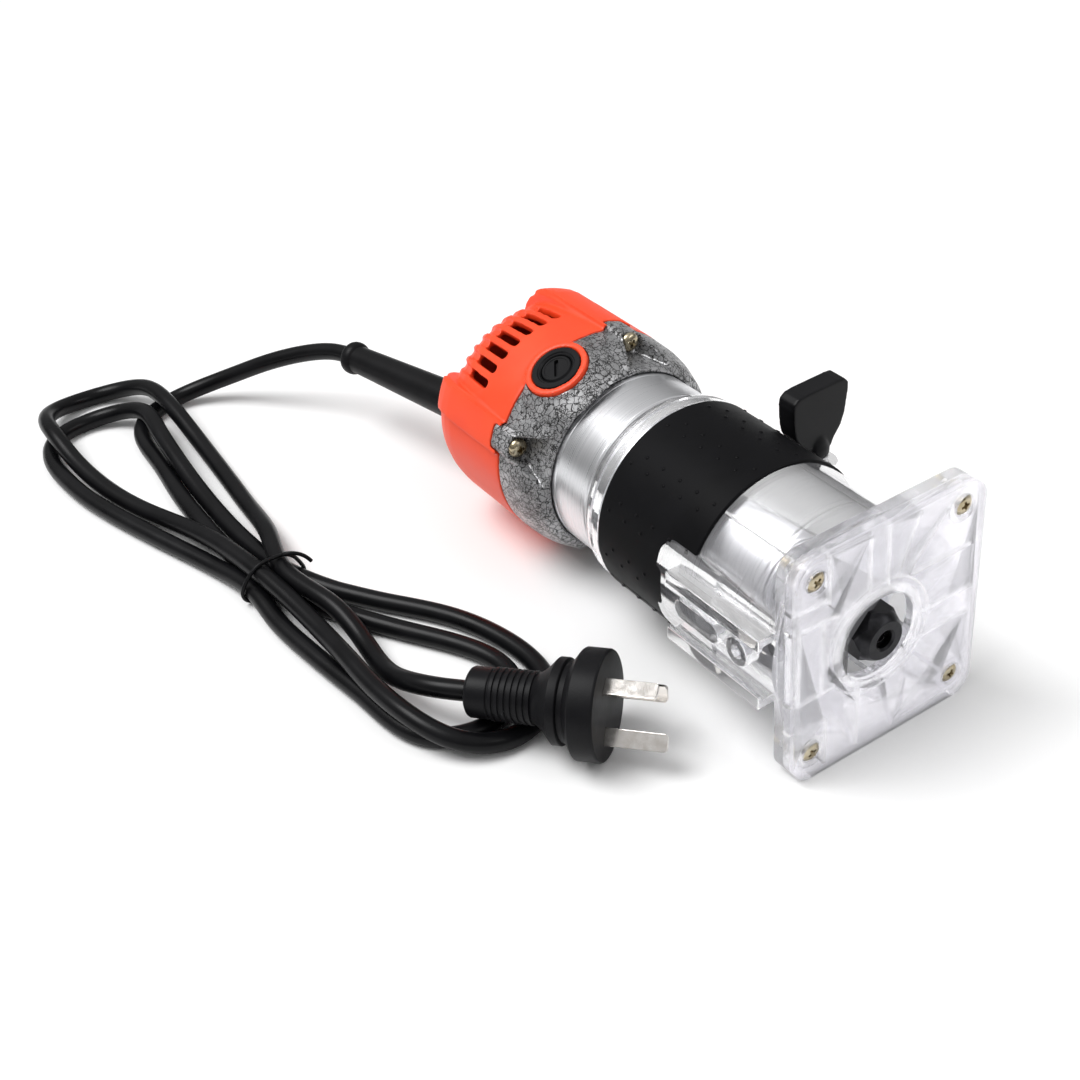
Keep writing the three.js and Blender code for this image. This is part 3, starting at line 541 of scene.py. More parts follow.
def camera():
    flat = math.cos(ELEVATION)
    back = Vector((math.sin(AZIMUTH) * flat, -math.cos(AZIMUTH) * flat, math.sin(ELEVATION)))
    level = Vector((math.cos(AZIMUTH), math.sin(AZIMUTH), 0))
    upward = back.cross(level)
    right = math.cos(ROLL) * level + math.sin(ROLL) * upward
    up = math.cos(ROLL) * upward - math.sin(ROLL) * level
    data = bpy.data.cameras.new("camera")
    data.lens = LENS
    data.clip_start = 0.01
    data.clip_end = 50
    rig = new_object("camera", data)
    rig.matrix_world = Matrix.Translation(CAMERA_AT) @ Matrix((right, up, back)).transposed().to_4x4()
    bpy.context.scene.camera = rig


def area_light(name, place_at, aim, size, power):
    data = bpy.data.lights.new(name, "AREA")
    data.shape = "RECTANGLE"
    data.size, data.size_y = size
    data.energy = power
    lamp = new_object(name, data)
    lamp.location = place_at
    lamp.rotation_euler = (Vector(aim) - Vector(place_at)).to_track_quat("-Z", "Y").to_euler()


def studio():
    world = bpy.data.worlds.new("studio")
    world.use_nodes = True
    bpy.context.scene.world = world
    background = world.node_tree.nodes["Background"]
    coordinates = node(world, "ShaderNodeTexCoord")
    height = node(world, "ShaderNodeSeparateXYZ")
    link(world, coordinates.outputs["Generated"], height.inputs["Vector"])
    sky = ramp(world, height.outputs["Z"], 0.12, 0.95, (0.0, 0.7))
    link(world, sky, background.inputs["Color"])
    background.inputs["Strength"].default_value = 0.62
    sun = new_object("sun", bpy.data.lights.new("sun", "SUN"))
    sun.data.energy = 1.75
    sun.data.angle = math.radians(38)
    sun.rotation_euler = (math.radians(24), math.radians(-14), 0)
    area_light("key", (-0.35, -0.45, 0.9), (0, 0, 0.04), (0.5, 0.35), 2.5)
    area_light("strip", (0.6, 0.5, 0.8), (0, 0, 0.04), (0.9, 0.12), 2)
    bpy.context.scene.view_settings.view_transform = "Standard"
    bm = bmesh.new()
    bmesh.ops.create_grid(bm, x_segments=1, y_segments=1, size=12)
    floor = from_bmesh(bm, "floor")
    white = principled("floor_white", (0.93, 0.93, 0.93), 0.9, Specular_IOR_Level=0.0)
    floor.data.materials.append(white)


camera()
studio()

# ---------------------------------------------------------------- cord and plug
CORD_R = 3.8
GUARD_LENGTH = 85
GUARD_WAY = Vector((-0.982, -0.184, -0.04)).normalized()
GUARD_AT = Vector((CAP_REAR - GAP, -18.2, -8.4))
PLUG_R = 19.6
PLUG_TURN = 38  # degrees from +X towards +Y
PLUG_TILT = 3.5  # degrees that the pins point upward
PLUG_ROLL = -43  # degrees round the plug's own axis
PLUG_FACE = Vector((-53, -73, FLOOR + 20.15))
TIE_X = -208

# Points [x, y, height above the floor]: down from the guard, then five passes through the tie.
CORD_ROUTE = [
    # inside the guard, and down to the floor
    (-216.3, -18.8, 37.5), (-243, -23.8, 36.4), (-270, -28.8, 35.3), (-297.4, -34, 34.2),
    (-311, -38.5, 32.2), (-325, -47, 27.6), (-338, -57.5, 21.6), (-350, -67.5, 14.6),
    (-360, -78.6, 8.6), (-365.2, -91.5, 4.8), (-363, -104.4, 3.8), (-355.6, -114, 3.8),
    (-342, -119.8, 3.8), (-320, -122, 3.8), (-292, -125.5, 3.8), (-262, -127.2, 3.8),
    (-233, -127, 3.9), (-208, -123.3, 5.4),
    # inner loop on the plug's side
    (-190, -117.5, 3.9), (-170, -108, 3.8), (-150, -97, 3.8), (-131, -86, 3.8),
    (-110, -79.8, 3.8), (-93.4, -86.6, 3.8), (-86.6, -103.2, 3.8), (-93.8, -120, 3.8),
    (-110, -126.6, 3.8), (-128, -128, 3.8), (-147, -130, 3.8), (-168, -132, 3.8),
    (-188, -132.8, 3.9), (-208, -132, 5.4),
    # inner loop on the far side
    (-232, -135.5, 3.9), (-260, -143.5, 3.8), (-290, -152, 3.8), (-318, -158, 3.8),
    (-336, -159.6, 3.8), (-351, -159.2, 3.8), (-367.8, -152.4, 3.8), (-374.6, -136, 3.8),
    (-368, -119.8, 6.8), (-352, -113, 11.3), (-335, -114.6, 11.4), (-318, -116.4, 9.6),
    (-296, -117.6, 6), (-272, -118.4, 3.8), (-250, -118.8, 3.8), (-228, -117.6, 3.9),
    (-208, -114.6, 5.4),
    # outer loop on the plug's side
    (-190, -106, 3.9), (-170, -94, 3.8), (-150, -81, 3.8), (-129, -72.6, 3.8),
    (-103, -69.8, 3.8), (-84, -78, 3.8), (-76, -97, 3.8), (-83, -115.6, 7.6),
    (-101, -124.4, 11.4), (-121, -126.4, 11.4), (-140, -126, 11.2), (-162, -125, 9.6),
    (-186, -125.6, 10.4), (-208, -127.6, 11.8),
    # outer loop on the far side
    (-235, -130.6, 11), (-262, -135.6, 8), (-290, -142.6, 4.6), (-318, -148.8, 4.4),
    (-345, -152, 7.4), (-360, -152.8, 11.4), (-375, -151.4, 11.2), (-388.4, -143.6, 7.2),
    (-394.4, -127, 4), (-388.2, -110.8, 5.8), (-373, -103, 10.6), (-357, -101.4, 11.4),
    (-340, -101.2, 9), (-318, -101.6, 5), (-292, -103.6, 3.8), (-262, -106.8, 4.6),
    (-233, -112, 9.8), (-208, -119, 11.8),
    # up to the plug
    (-190, -118, 11.6), (-172, -114.6, 10.8), (-155, -113.8, 7), (-138, -115.8, 6.6),
    (-124, -116.9, 10), (-111, -115.2, 14.4), (-100.4, -110, 16.4), (-92.6, -103.9, 17.05),
]


def cord():
    path = smooth_path([(x, y, FLOOR + max(height, CORD_R)) for x, y, height in CORD_ROUTE])
    for point in path:
        point[Z] = max(point[Z], FLOOR + CORD_R)
    flex = tube("cord", path, CORD_R)
    return finish_piece(flex, "cord", "motor", "cord_jacket", "cord_run", "cord_hank", "cord_lead")


def cord_guard():
    """A tapered sleeve with a bead at its end and a shallow waist behind the bead."""
    tip = GUARD_LENGTH
    sleeve = lathe(
        [
            (-0.2, 0),
            (-0.2, 8.3),
            (4, 8.2),
            (tip * 0.5, 7.1),
            (tip - 9, 6.1),
            (tip - 6.2, 6.1),
            *[(tip - 3.2 + 2.6 * math.sin(t), 6.2 + 1.1 * math.cos(t)) for t in np.linspace(-1.2, 1.3, 8)],
            (tip, 4.9),
            (tip, 0),
        ],
        64,
    )
    quaternion = Vector((1, 0, 0)).rotation_difference(GUARD_WAY)
    move(sleeve, quaternion.to_matrix().to_4x4())
    sleeve = cut(sleeve, box((0, 10), (-14, 14), (-14, 14)))
    neck = lathe([(-1, 0), (-1, 6), (4.5, 6), (4.5, 0)], 64)
    sleeve = join(sleeve, neck)
    move(sleeve, Matrix.Translation(GUARD_AT))
    return finish_piece(sleeve, "guard", "motor", "cord_rubber", "cord_guard")


def cord_tie():
    """A soft wire wound once round the folded cord, with its end curled back."""
    low, high = FLOOR + 0.9, FLOOR + 16.6
    loop = [
        (TIE_X + 1, -116, high + 0.4), (TIE_X, -119, high), (TIE_X, -127.6, high - 0.2), (TIE_X, -133.5, high - 4.4),
        (TIE_X - 0.4, -136.7, FLOOR + 6), (TIE_X - 0.8, -134.6, low + 0.6), (TIE_X - 1, -130, low),
        (TIE_X - 1, -117, low), (TIE_X - 0.4, -112, low + 0.4), (TIE_X + 0.2, -109.8, FLOOR + 5),
        (TIE_X + 0.8, -111.4, FLOOR + 10.5), (TIE_X + 1.6, -115, high - 0.6), (TIE_X + 2.4, -118, high + 1.6),
        (TIE_X + 4.4, -115.6, high + 2.2), (TIE_X + 5.6, -111, high - 0.6), (TIE_X + 6, -108.6, FLOOR + 12.6),
    ]
    wire = tube("tie", smooth_path(loop, 1.0), 0.8)
    return finish_piece(wire, "tie", "motor", "cord_rubber", "cord_tie")


def plug():
    """Disc with a bevelled face, a grooved shoulder and a ribbed neck."""
    rings = [-25.4 - 2.3 * i for i in range(7)]
    ribs = [p for x in rings for p in ((x, 8.8), (x - 0.2, 9.5), (x - 1.3, 9.5), (x - 1.5, 8.8))]
    profile = [
        (0, 0), (0, 18.8), (-0.3, 19.3), (-0.9, PLUG_R), (-8.6, PLUG_R), (-9.2, 19.2), (-11.2, 16.4), (-12, 14.8),
        (-12.4, 14.2), (-14.2, 14.2), (-14.6, 15.1), (-15, 15.3), (-17.8, 15.3), (-18.3, 14.8), (-20.4, 12.4),
        (-22.6, 10.4), (-24.4, 9.2), *ribs, (-41.4, 8.6), (-41.8, 9.1), (-48.6, 9.1), (-49.4, 8.7), (-50, 7.8), (-50, 0),
    ]
    body = lathe(profile, 96)
    sockets = [pin_solid(name, 0.1) for name in PINS]
    body = bevel(cut(body, *sockets), 0.25, 2, 50)
    return finish_piece(to_plug(body), "plug", "motor", "plug_plastic", "plug_body", smooth_angle=40)


# Pins: side offset, height, turn round their own length, and how far they stand out.
PINS = {
    "plug_pin_left": (7, 6.3, 30, 18.5),
    "plug_pin_right": (-7, 6.3, -30, 18.5),
    "plug_pin_earth": (0, -10.3, 0, 22),
}


def pin_solid(name, clearance):
    across, height, lean, length = PINS[name]
    half = 3.15 + clearance
    end = arc(length - 1.4, half - 1.4, 1.4, 90, 0, 5) + arc(length - 1.4, 1.4 - half, 1.4, 0, -90, 5)
    blade = prism([(-4, -half), *reversed(end), (-4, half)], -0.8 - clearance, 0.8 + clearance, ACROSS_Y)
    return turn(shift(turn(blade, lean), 0, across, height), PLUG_ROLL)


def to_plug(piece):
    turn(piece, -PLUG_TILT, "Y")
    turn(piece, PLUG_TURN, "Z")
    return move(piece, Matrix.Translation(PLUG_FACE))


def plug_pin(name):
    blade = bevel(pin_solid(name, 0), 0.25, 2)
    return finish_piece(to_plug(blade), name.replace("plug_", ""), "motor", "nickel", name)


flex = cord()
pieces_on_cord = [cord_guard(), cord_tie(), plug(), *[plug_pin(name) for name in PINS]]

# ---------------------------------------------------------------- motor housing
HEAD_R = 43.8  # widest radius of the bracket and the cap
RIB_RISE = 1.7
SCREW_CIRCLE = math.hypot(middle("case_screw_1").y, middle("case_screw_1").z)
POCKET_FLOOR = span("case_screw_1", X)[1] - 2.9
BOSS_R = 12.5
HOLDER_R = 7.6
HOLDER_RIM_R = 9.8
BRUSH_ANGLE = BRUSH_ANGLES["upper"]
BRUSH_SLOT_TURN = -38  # degrees round the brush's own axis
BOSS_TOP = (AXIS_HEIGHT - BOSS_R * math.sin(math.radians(BRUSH_ANGLE))) / math.cos(math.radians(BRUSH_ANGLE))
SEAM = BRACKET_REAR - GAP
CAP_WALL = 3.4
SLOT_PITCH = 8.9  # degrees between vent slots
SLOT_STEPS = range(-3, 4)
SLOT_FRONT, SLOT_REAR = -180.5, -196
SWITCH = middle("switch_body")
SWITCH_HALF = (6.5, 9.6)
CAP_PROFILE = [
    (SEAM, 43.9), (-196, 43.9), (-200.5, 43.4), (-204.6, 42.2), (-208, 40.2), (-210.8, 37.4),
    (-212.4, 34.4), (CAP_REAR, 30.5),
]
# The lower shoulder of the cap's two slotted sides.
SLOTTED_PROFILE = [
    (SEAM, 43.9), (-170, 43.6), (-181, 43), (-190, 42), (-197, 40.6), (-202.5, 38.6),
    (-207, 35.6), (-210.4, 32), (-212.4, 28), (CAP_REAR, 24),
]
SLOTTED_HALF_ANGLE = 35.5
PARTING_X = -172


def motor_barrel():
    """Turned tube with a chamfered nose and two fine grooves in front of the bracket."""
    inner = BARREL_R - 2.4
    grooves = [p for x in (-135.2, -116.4) for p in ((x - 0.5, BARREL_R), (x, BARREL_R - 0.35), (x + 0.5, BARREL_R))]
    barrel = lathe(
        [
            (BARREL_REAR, inner), (BARREL_FRONT, inner), (BARREL_FRONT, BARREL_R - 1), (BARREL_FRONT - 0.3, BARREL_R - 0.3),
            (BARREL_FRONT - 1, BARREL_R), *reversed(grooves), (BARREL_REAR, BARREL_R),
        ],
        192,
    )
    return finish_piece(barrel, "barrel", "motor", "polished_aluminium", "motor_housing")


def nose_plate():
    rim = BARREL_FRONT + GAP
    seat = 13.3
    profile = [
        (rim - 2, 16), (rim + 1.2, 16), (rim + 1.4, 17), (rim + 1.2, 22), (rim + 1.2, 29), (rim + 1.8, 31),
        (rim + 1.8, 33), (rim + 1.0, 34.7), (rim, 34.9), (rim, 33), (rim - 1.4, 33), (rim - 1.4, 17.4), (rim - 2, 17),
    ]
    plate = lathe(profile, 128)
    finish_piece(plate, "nose_plate", "motor", "polished_aluminium", "front_cover")
    hub = lathe(
        [
            (rim + 1.4, 10), (rim + 3.2, 10), (rim + 3.4, 10.3), (rim + 3.4, 14.6), (rim + 3.1, 15), (rim + 1.8, 15.7),
            (rim - 7.4, seat + 2.4), (rim - 7.4, seat), (rim + 1.4, seat),
        ],
        96,
    )
    return finish_piece(hub, "bearing_hub", "motor", "black_plastic", "front_cover")


def screw_pad(angle, clearance):
    half = 5.9 + clearance
    pad = rounded((-half, half), (35, HEAD_R + RIB_RISE + clearance), 3.5)
    return turn(slab(pad, BRACKET_REAR - 4 - clearance, POCKET_FLOOR + 3), angle)


def screw_hole(angle, x0, x1):
    return turn(shift(rod(x0, x1, 2.1, 24), z=SCREW_CIRCLE), angle)


def pocket(angle):
    """Seat of a case screw, which opens in a V towards the front ring."""
    top = 56
    low = SCREW_CIRCLE - 4.6
    seat = [*arc(0, SCREW_CIRCLE, 4.6, 180, 360, 16), (4.6, top), (-4.6, top)]
    throat = slab(seat, POCKET_FLOOR, -130)
    flare = prism(
        [(POCKET_FLOOR + 1, -4.4), (POCKET_FLOOR + 1, 4.4), (-131, 13), (-131, -13)],
        low + 0.2, top,
    )
    return turn(join(throat, flare), angle)


def bracket():
    bore = BARREL_R + GAP
    shell = lathe(
        [
            (BRACKET_FRONT, bore), (BRACKET_FRONT, 37.1), (-137.5, 37.6), (-139.2, 39.8), (-140.4, 40.5), (-147, 42.7),
            (-151, 43.4), (BRACKET_REAR, HEAD_R), (BRACKET_REAR, 33.4), (BARREL_REAR - GAP, 33.4),
            (BARREL_REAR - GAP, bore),
        ],
        144,
    )
    pads = [screw_pad(angle, 0) for angle in SCREW_ANGLES.values()]
    pockets = [pocket(angle) for angle in SCREW_ANGLES.values()]
    holes = [screw_hole(angle, -170, -140) for angle in SCREW_ANGLES.values()]
    notches = [radial_rod(BRUSH_X, angle, 28, 50, BOSS_R + GAP) for angle in BRUSH_ANGLES.values()]
    skirts = []
    for angle in BRUSH_ANGLES.values():
        skirt = boss_skirt(angle, BOSS_TOP - 1.4)
        inner = rod(-170, -130, 38, 96)
        skirts.append(cut(skirt, box((-200, BRACKET_REAR), (-60, 60), (-60, 60)), inner))
    casting = cut(join(shell, *pads, *skirts), *pockets, *holes, *notches)
    casting = soften(casting, 0.5, 4, 0.5)
    return finish_piece(casting, "bracket", "motor", "crackle_paint", "brush_housing")


def slotted_side(angle):
    """What is taken off the full profile on a slotted side."""
    reach = 60
    half = math.radians(SLOTTED_HALF_ANGLE)
    corner = (reach * math.sin(half), reach * math.cos(half))
    wedge = turn(slab([(0, 0), corner, (-corner[0], corner[1])], CAP_REAR - 1, SEAM - 3), angle)
    return cut(wedge, lathe([(SEAM, 0), *SLOTTED_PROFILE, (CAP_REAR, 0)], 144))


def boss_skirt(angle, top):
    """A low cone that leads up to the round brush insert."""
    cone = lathe([(34, 0), (34, 24), (38.5, 20), (top - 0.8, 13.6), (top, 13.2), (top, 0)], 64)
    return to_radius(cone, BRUSH_X, angle)


def parting_groove(bottom):
    x = PARTING_X
    return lathe([(x - 0.15, bottom), (x + 0.15, bottom), (x + 0.15, 60), (x - 0.15, 60)])


def vent(angle):
    """A slot through the cap's side, whose rear end runs on as a shallow groove over the shoulder."""
    half = 1.75
    through = prism(rounded((SLOT_REAR, SLOT_FRONT), (-half, half), 1.6), 34, 56)
    rise = [
        (-216, 28), (-210.4, 30.8), (-207, 34.2), (-202.5, 37.2), (SLOT_REAR, 39.4), (SLOT_REAR, 56), (-216, 56),
    ]
    groove = prism(rise, -half, half, ACROSS_Y)
    return [turn(through, angle), turn(groove, angle)]


def end_cap():
    inside = [(max(x, CAP_REAR + CAP_WALL), r - CAP_WALL) for x, r in SLOTTED_PROFILE]
    shell = lathe([*CAP_PROFILE, (CAP_REAR, 0), (CAP_REAR + CAP_WALL, 0), *reversed(inside)], 144)
    raised_profile = [(x, r + RIB_RISE) for x, r in CAP_PROFILE]
    ribs = []
    for angle in SCREW_ANGLES.values():
        raised = lathe([(SEAM, 0), *raised_profile, (CAP_REAR, 0)], 144)
        lane = slab(rounded((-6.5, 6.5), (37.5, 50), 1), CAP_REAR + 6, SEAM)
        ribs.append(common(raised, turn(lane, angle)))
    bosses = [radial_rod(BRUSH_X, a, 39, BOSS_TOP, BOSS_R) for a in BRUSH_ANGLES.values()]
    vents = [t for a in BRUSH_ANGLES.values() for i in SLOT_STEPS for t in vent(a + i * SLOT_PITCH)]
    bores = [radial_rod(BRUSH_X, a, 20, 50, HOLDER_R + GAP) for a in BRUSH_ANGLES.values()]
    seats = [radial_rod(BRUSH_X, a, BOSS_TOP - 1.8, 50, HOLDER_RIM_R + GAP) for a in BRUSH_ANGLES.values()]
    rooms = [screw_pad(a, GAP) for a in SCREW_ANGLES.values()]
    holes = [screw_hole(a, -176, -150) for a in SCREW_ANGLES.values()]
    half_y, half_z = SWITCH_HALF
    opening = box(
        (CAP_REAR - 5, CAP_REAR + 8), (SWITCH.y - half_y, SWITCH.y + half_y), (SWITCH.z - half_z, SWITCH.z + half_z)
    )
    gland = shift(rod(CAP_REAR - 5, CAP_REAR + 8, 6.3), 0, GUARD_AT.y, GUARD_AT.z)
    skirts = [
        cut(boss_skirt(a, BOSS_TOP - 1.4), box((SEAM, -120), (-60, 60), (-60, 60))) for a in BRUSH_ANGLES.values()
    ]
    sides = [slotted_side(a) for a in BRUSH_ANGLES.values()]
    shell = cut(shell, *sides, parting_groove(43.3))
    ribs = [cut(rib, parting_groove(45.2)) for rib in ribs]
    cap = cut(join(shell, *ribs, *bosses, *skirts), *vents, *bores, *seats, *rooms, *holes, opening, gland)
    cap = soften(cap, 0.55, 5, 0.45)
    return finish_piece(cap, "end_cap_shell", "motor", "orange_plastic", "end_cap")


def pan_screw(head_r, head_height, shank_r, length):
    """Cross-head pan screw along +X, with the middle of its head's top at the origin."""
    under = -head_height
    dome = arc(under, 0, head_height, 0, 80, 8)
    profile = [(0, 0), *[(x, head_r * math.sin(math.radians(10 * i))) for i, (x, _) in enumerate(dome, 1)]]
    profile[-1] = (under + 0.5, head_r)
    profile += [(under + 0.1, head_r), (under, head_r - 0.2), (under, shank_r)]
    turns = 6
    pitch = (length - 1) / turns
    for i in range(turns):
        x = under - i * pitch
        profile += [(x - pitch * 0.5, shank_r - 0.25), (x - pitch * 0.9, shank_r)]
    profile += [(under - length, shank_r - 0.6), (under - length, 0)]
    screw = lathe(profile, 48)
    reach = head_r * 0.52
    blade = [(0.4, -reach), (0.4, reach), (-head_height * 0.62, reach * 0.5), (-head_height * 0.62, -reach * 0.5)]
    arms = [prism(blade, -0.5, 0.5), prism(blade, -0.5, 0.5, ACROSS_Y)]
    well = lathe([(0.4, 0), (0.4, head_r * 0.3), (-head_height * 0.7, head_r * 0.12), (-head_height * 0.7, 0)], 16)
    return cut(screw, *arms, well)


def case_screw(i):
    screw = turn(pan_screw(3.8, 2.6, 1.8, 15.8), 20 * i)
    top = span(f"case_screw_{i}", X)[1]
    screw = turn(shift(screw, top, 0, SCREW_CIRCLE), SCREW_ANGLES[i])
    return finish_piece(screw, f"bracket_screw_{i}", "motor", "zinc_screw", f"case_screw_{i}")


def brush_parts(side):
    """Round insert with its rim, and the slotted cap screwed into it."""
    angle = BRUSH_ANGLES[side]
    top = BOSS_TOP - 0.1
    insert = lathe(
        [
            (13.4, 0), (13.4, HOLDER_R), (top - 1.4, HOLDER_R), (top - 1.4, HOLDER_RIM_R), (top - 0.3, HOLDER_RIM_R),
            (top, HOLDER_RIM_R - 0.3), (top, 7.7), (top - 0.5, 7.3), (top - 0.5, 6.9), (top - 0.2, 6.6),
            (top - 0.6, 6.3), (36.6, 6.3), (36.6, 0),
        ],
        96,
    )
    insert = cut(insert, box((10, 40), (-3, 3), (-4, 4)))
    finish_piece(
        to_radius(insert, BRUSH_X, angle), f"brush_insert_{side}", "motor", "black_plastic", f"brush_holder_{side}"
    )
    face = BOSS_TOP - 0.4
    disc = lathe(
        [(36.9, 0), (36.9, 6), (face - 0.4, 6), (face, 5.6), (face, 4.9), (face - 0.25, 4.7), (face - 0.25, 0)], 96
    )
    slot = prism(rounded((-0.85, 0.85), (-4.2, 4.2), 0.6), face - 1.6, face + 1)
    move(slot, ACROSS_X)
    turn(slot, BRUSH_SLOT_TURN)
    disc = cut(disc, slot, rod(36, 38, 3))
    return finish_piece(
        to_radius(disc, BRUSH_X, angle), f"brush_disc_{side}", "motor", "black_plastic", f"brush_cap_{side}"
    )


motor_barrel()
nose_plate()
bracket()
end_cap()
for number in SCREWS:
    case_screw(number)
for side in SIDES:
    brush_parts(side)

# ---------------------------------------------------------------- switch
def copy_of(node_name):
    """A CAD node's own shape in the router's frame, welded and with its flat faces whole."""
    bm = bmesh.new()
    bm.from_mesh(frame["nodes"][node_name].data)
    bmesh.ops.transform(bm, matrix=TO_ROUTER, verts=bm.verts)
    bmesh.ops.remove_doubles(bm, verts=bm.verts, dist=0.001)
    bmesh.ops.dissolve_limit(bm, angle_limit=math.radians(1), verts=bm.verts, edges=bm.edges)
    return from_bmesh(bm)


def switch():
    frame_piece = bevel(copy_of("switch_body"), 0.5, 3)
    finish_piece(frame_piece, "switch_frame", "motor", "black_plastic", "switch_body")
    rocker = copy_of("switch_rocker")
    low, high = (Vector([span("switch_rocker", axis)[i] for axis in (X, Y, Z)]) for i in (0, 1))
    grooves = [
        box((low.x - 2, low.x + 0.9), (low.y + 1.6, high.y - 1.6), (z - 0.35, z + 0.35))
        for z in (low.z + 2.0, low.z + 3.4, low.z + 4.8)
    ]
    rocker = bevel(cut(rocker, *grooves), 0.25, 2)
    return finish_piece(rocker, "rocker", "switch_rocker", "black_plastic", "switch_rocker")


switch()

# ---------------------------------------------------------------- spindle nose and collet
def spindle_nose():
    """The spindle with round steps, its threads behind the nut and two spanner flats."""
    front = span("spindle", X)[1]
    threads = [p for i in range(8) for p in ((-9.4 - i * 1.2, 7.0), (-10 - i * 1.2, 7.4))]
    shaft = lathe(
        [
            (-178.4, 0), (-178.4, 3), (-177.9, 3.5), (-169.5, 3.5), (-169.5, 4), (-52, 4), (-52, 5), (-26.5, 5),
            (-24.6, 7.4), (-19.6, 7.4), *reversed(threads), (-8, 7.4), (front, 6.6), (front, 5.5), (-21, 3.9), (-21, 0),
        ],
        96,
    )
    flats = [box((-24, -19.6), side, (-9, 9)) for side in ((6.3, 9), (-9, -6.3))]
    shaft = cut(shaft, *flats)
    return finish_piece(shaft, "spindle_shaft", "rotor", "steel", "spindle")


def collet():
    sleeve = lathe(
        [
            (-20.4, 3.2), (-0.6, 3.2), (-0.6, 3.9), (-3.4, 6.6), (-5.4, 6.6), (-6, 5.1), (-20.4, 3.45),
        ],
        72,
    )
    slits = [turn(box((-17, 1), (-0.35, 0.35), (0, 9)), angle) for angle in (0, 120, 240)]
    return finish_piece(cut(sleeve, *slits), "collet_sleeve", "rotor", "steel", "collet")


def collet_nut():
    """Hexagonal nut with a coned nose, a round hole and chamfered corners."""
    corner = 9 / math.cos(math.pi / 6)
    prism_body = turn(rod(NUT_REAR, NUT_FRONT, corner, 6), 15)
    envelope = lathe(
        [
            (NUT_REAR, 0), (NUT_REAR, 9.3), (NUT_REAR + 0.9, 10.4), (-2.2, 10.4), (-1.4, 9.4), (0.4, 8.6),
            (NUT_FRONT - 0.3, 7.6), (NUT_FRONT, 7.2), (NUT_FRONT, 0),
        ],
        128,
    )
    cavity = lathe(
        [
            (NUT_REAR - 1, 0), (NUT_REAR - 1, 7.8), (-6, 7.8), (-5, 7), (-3.2, 7), (-0.2, 4.1), (-0.2, 3.4),
            (NUT_FRONT - 0.7, 3.4), (NUT_FRONT + 0.1, 4.3), (NUT_FRONT + 1, 4.3), (NUT_FRONT + 1, 0),
        ],
        64,
    )
    nut = bevel(cut(common(prism_body, envelope), cavity), 0.25, 2, 25)
    return finish_piece(nut, "nut", "collet_nut", "black_oxide", "collet_nut", smooth_angle=30)


spindle_nose()
collet()
collet_nut()

# ---------------------------------------------------------------- base
BASE_BORE = BARREL_R + GAP
BASE_R = 37.5
BASE_FRONT_R = 38.2
COLLAR_FRONT = GRIP_REAR - GAP
FLANGE_REAR = FLANGE_FRONT - 4.9
GRIP_R = 39
PLATE_CORNER = 8
EAR_TOP = 9
SPLIT = 2.6
SCREW_PLACES = [(middle(f"base_screw_{i}").y, middle(f"base_screw_{i}").z) for i in SCREWS]
RAIL_X = (-58, FLANGE_REAR + 0.5)
RAIL_Y = (-43.5, -36.4)
RAIL_Z = (11.2, 14.4)


def mirrored(spread, side):
    return spread if side > 0 else (-spread[1], -spread[0])


def guide_rail(side):
    """An L-shaped rail with a rounded rear end that holds the edge guide."""
    wall = box(RAIL_X, RAIL_Y, mirrored(RAIL_Z, side))
    hook = box(RAIL_X, (RAIL_Y[0], RAIL_Y[0] + 1.8), mirrored((RAIL_Z[0] - 1.8, RAIL_Z[1]), side))
    return join(wall, hook)


PAD_REAR = -69.5


def pad_outline(inset):
    """The clear pad behind the rails, with rounded rear corners and a notch between them."""
    rear, half = PAD_REAR + inset, 19 - inset
    return [
        (-40, -half), *arc(rear + 6, 6 - half, 6, 270, 180, 8), (rear, -8), *arc(rear, -5, 3, 270, 360, 6),
        *arc(rear, 5, 3, 0, 90, 6), (rear, 8), *arc(rear + 6, half - 6, 6, 180, 90, 8), (-40, half),
    ]


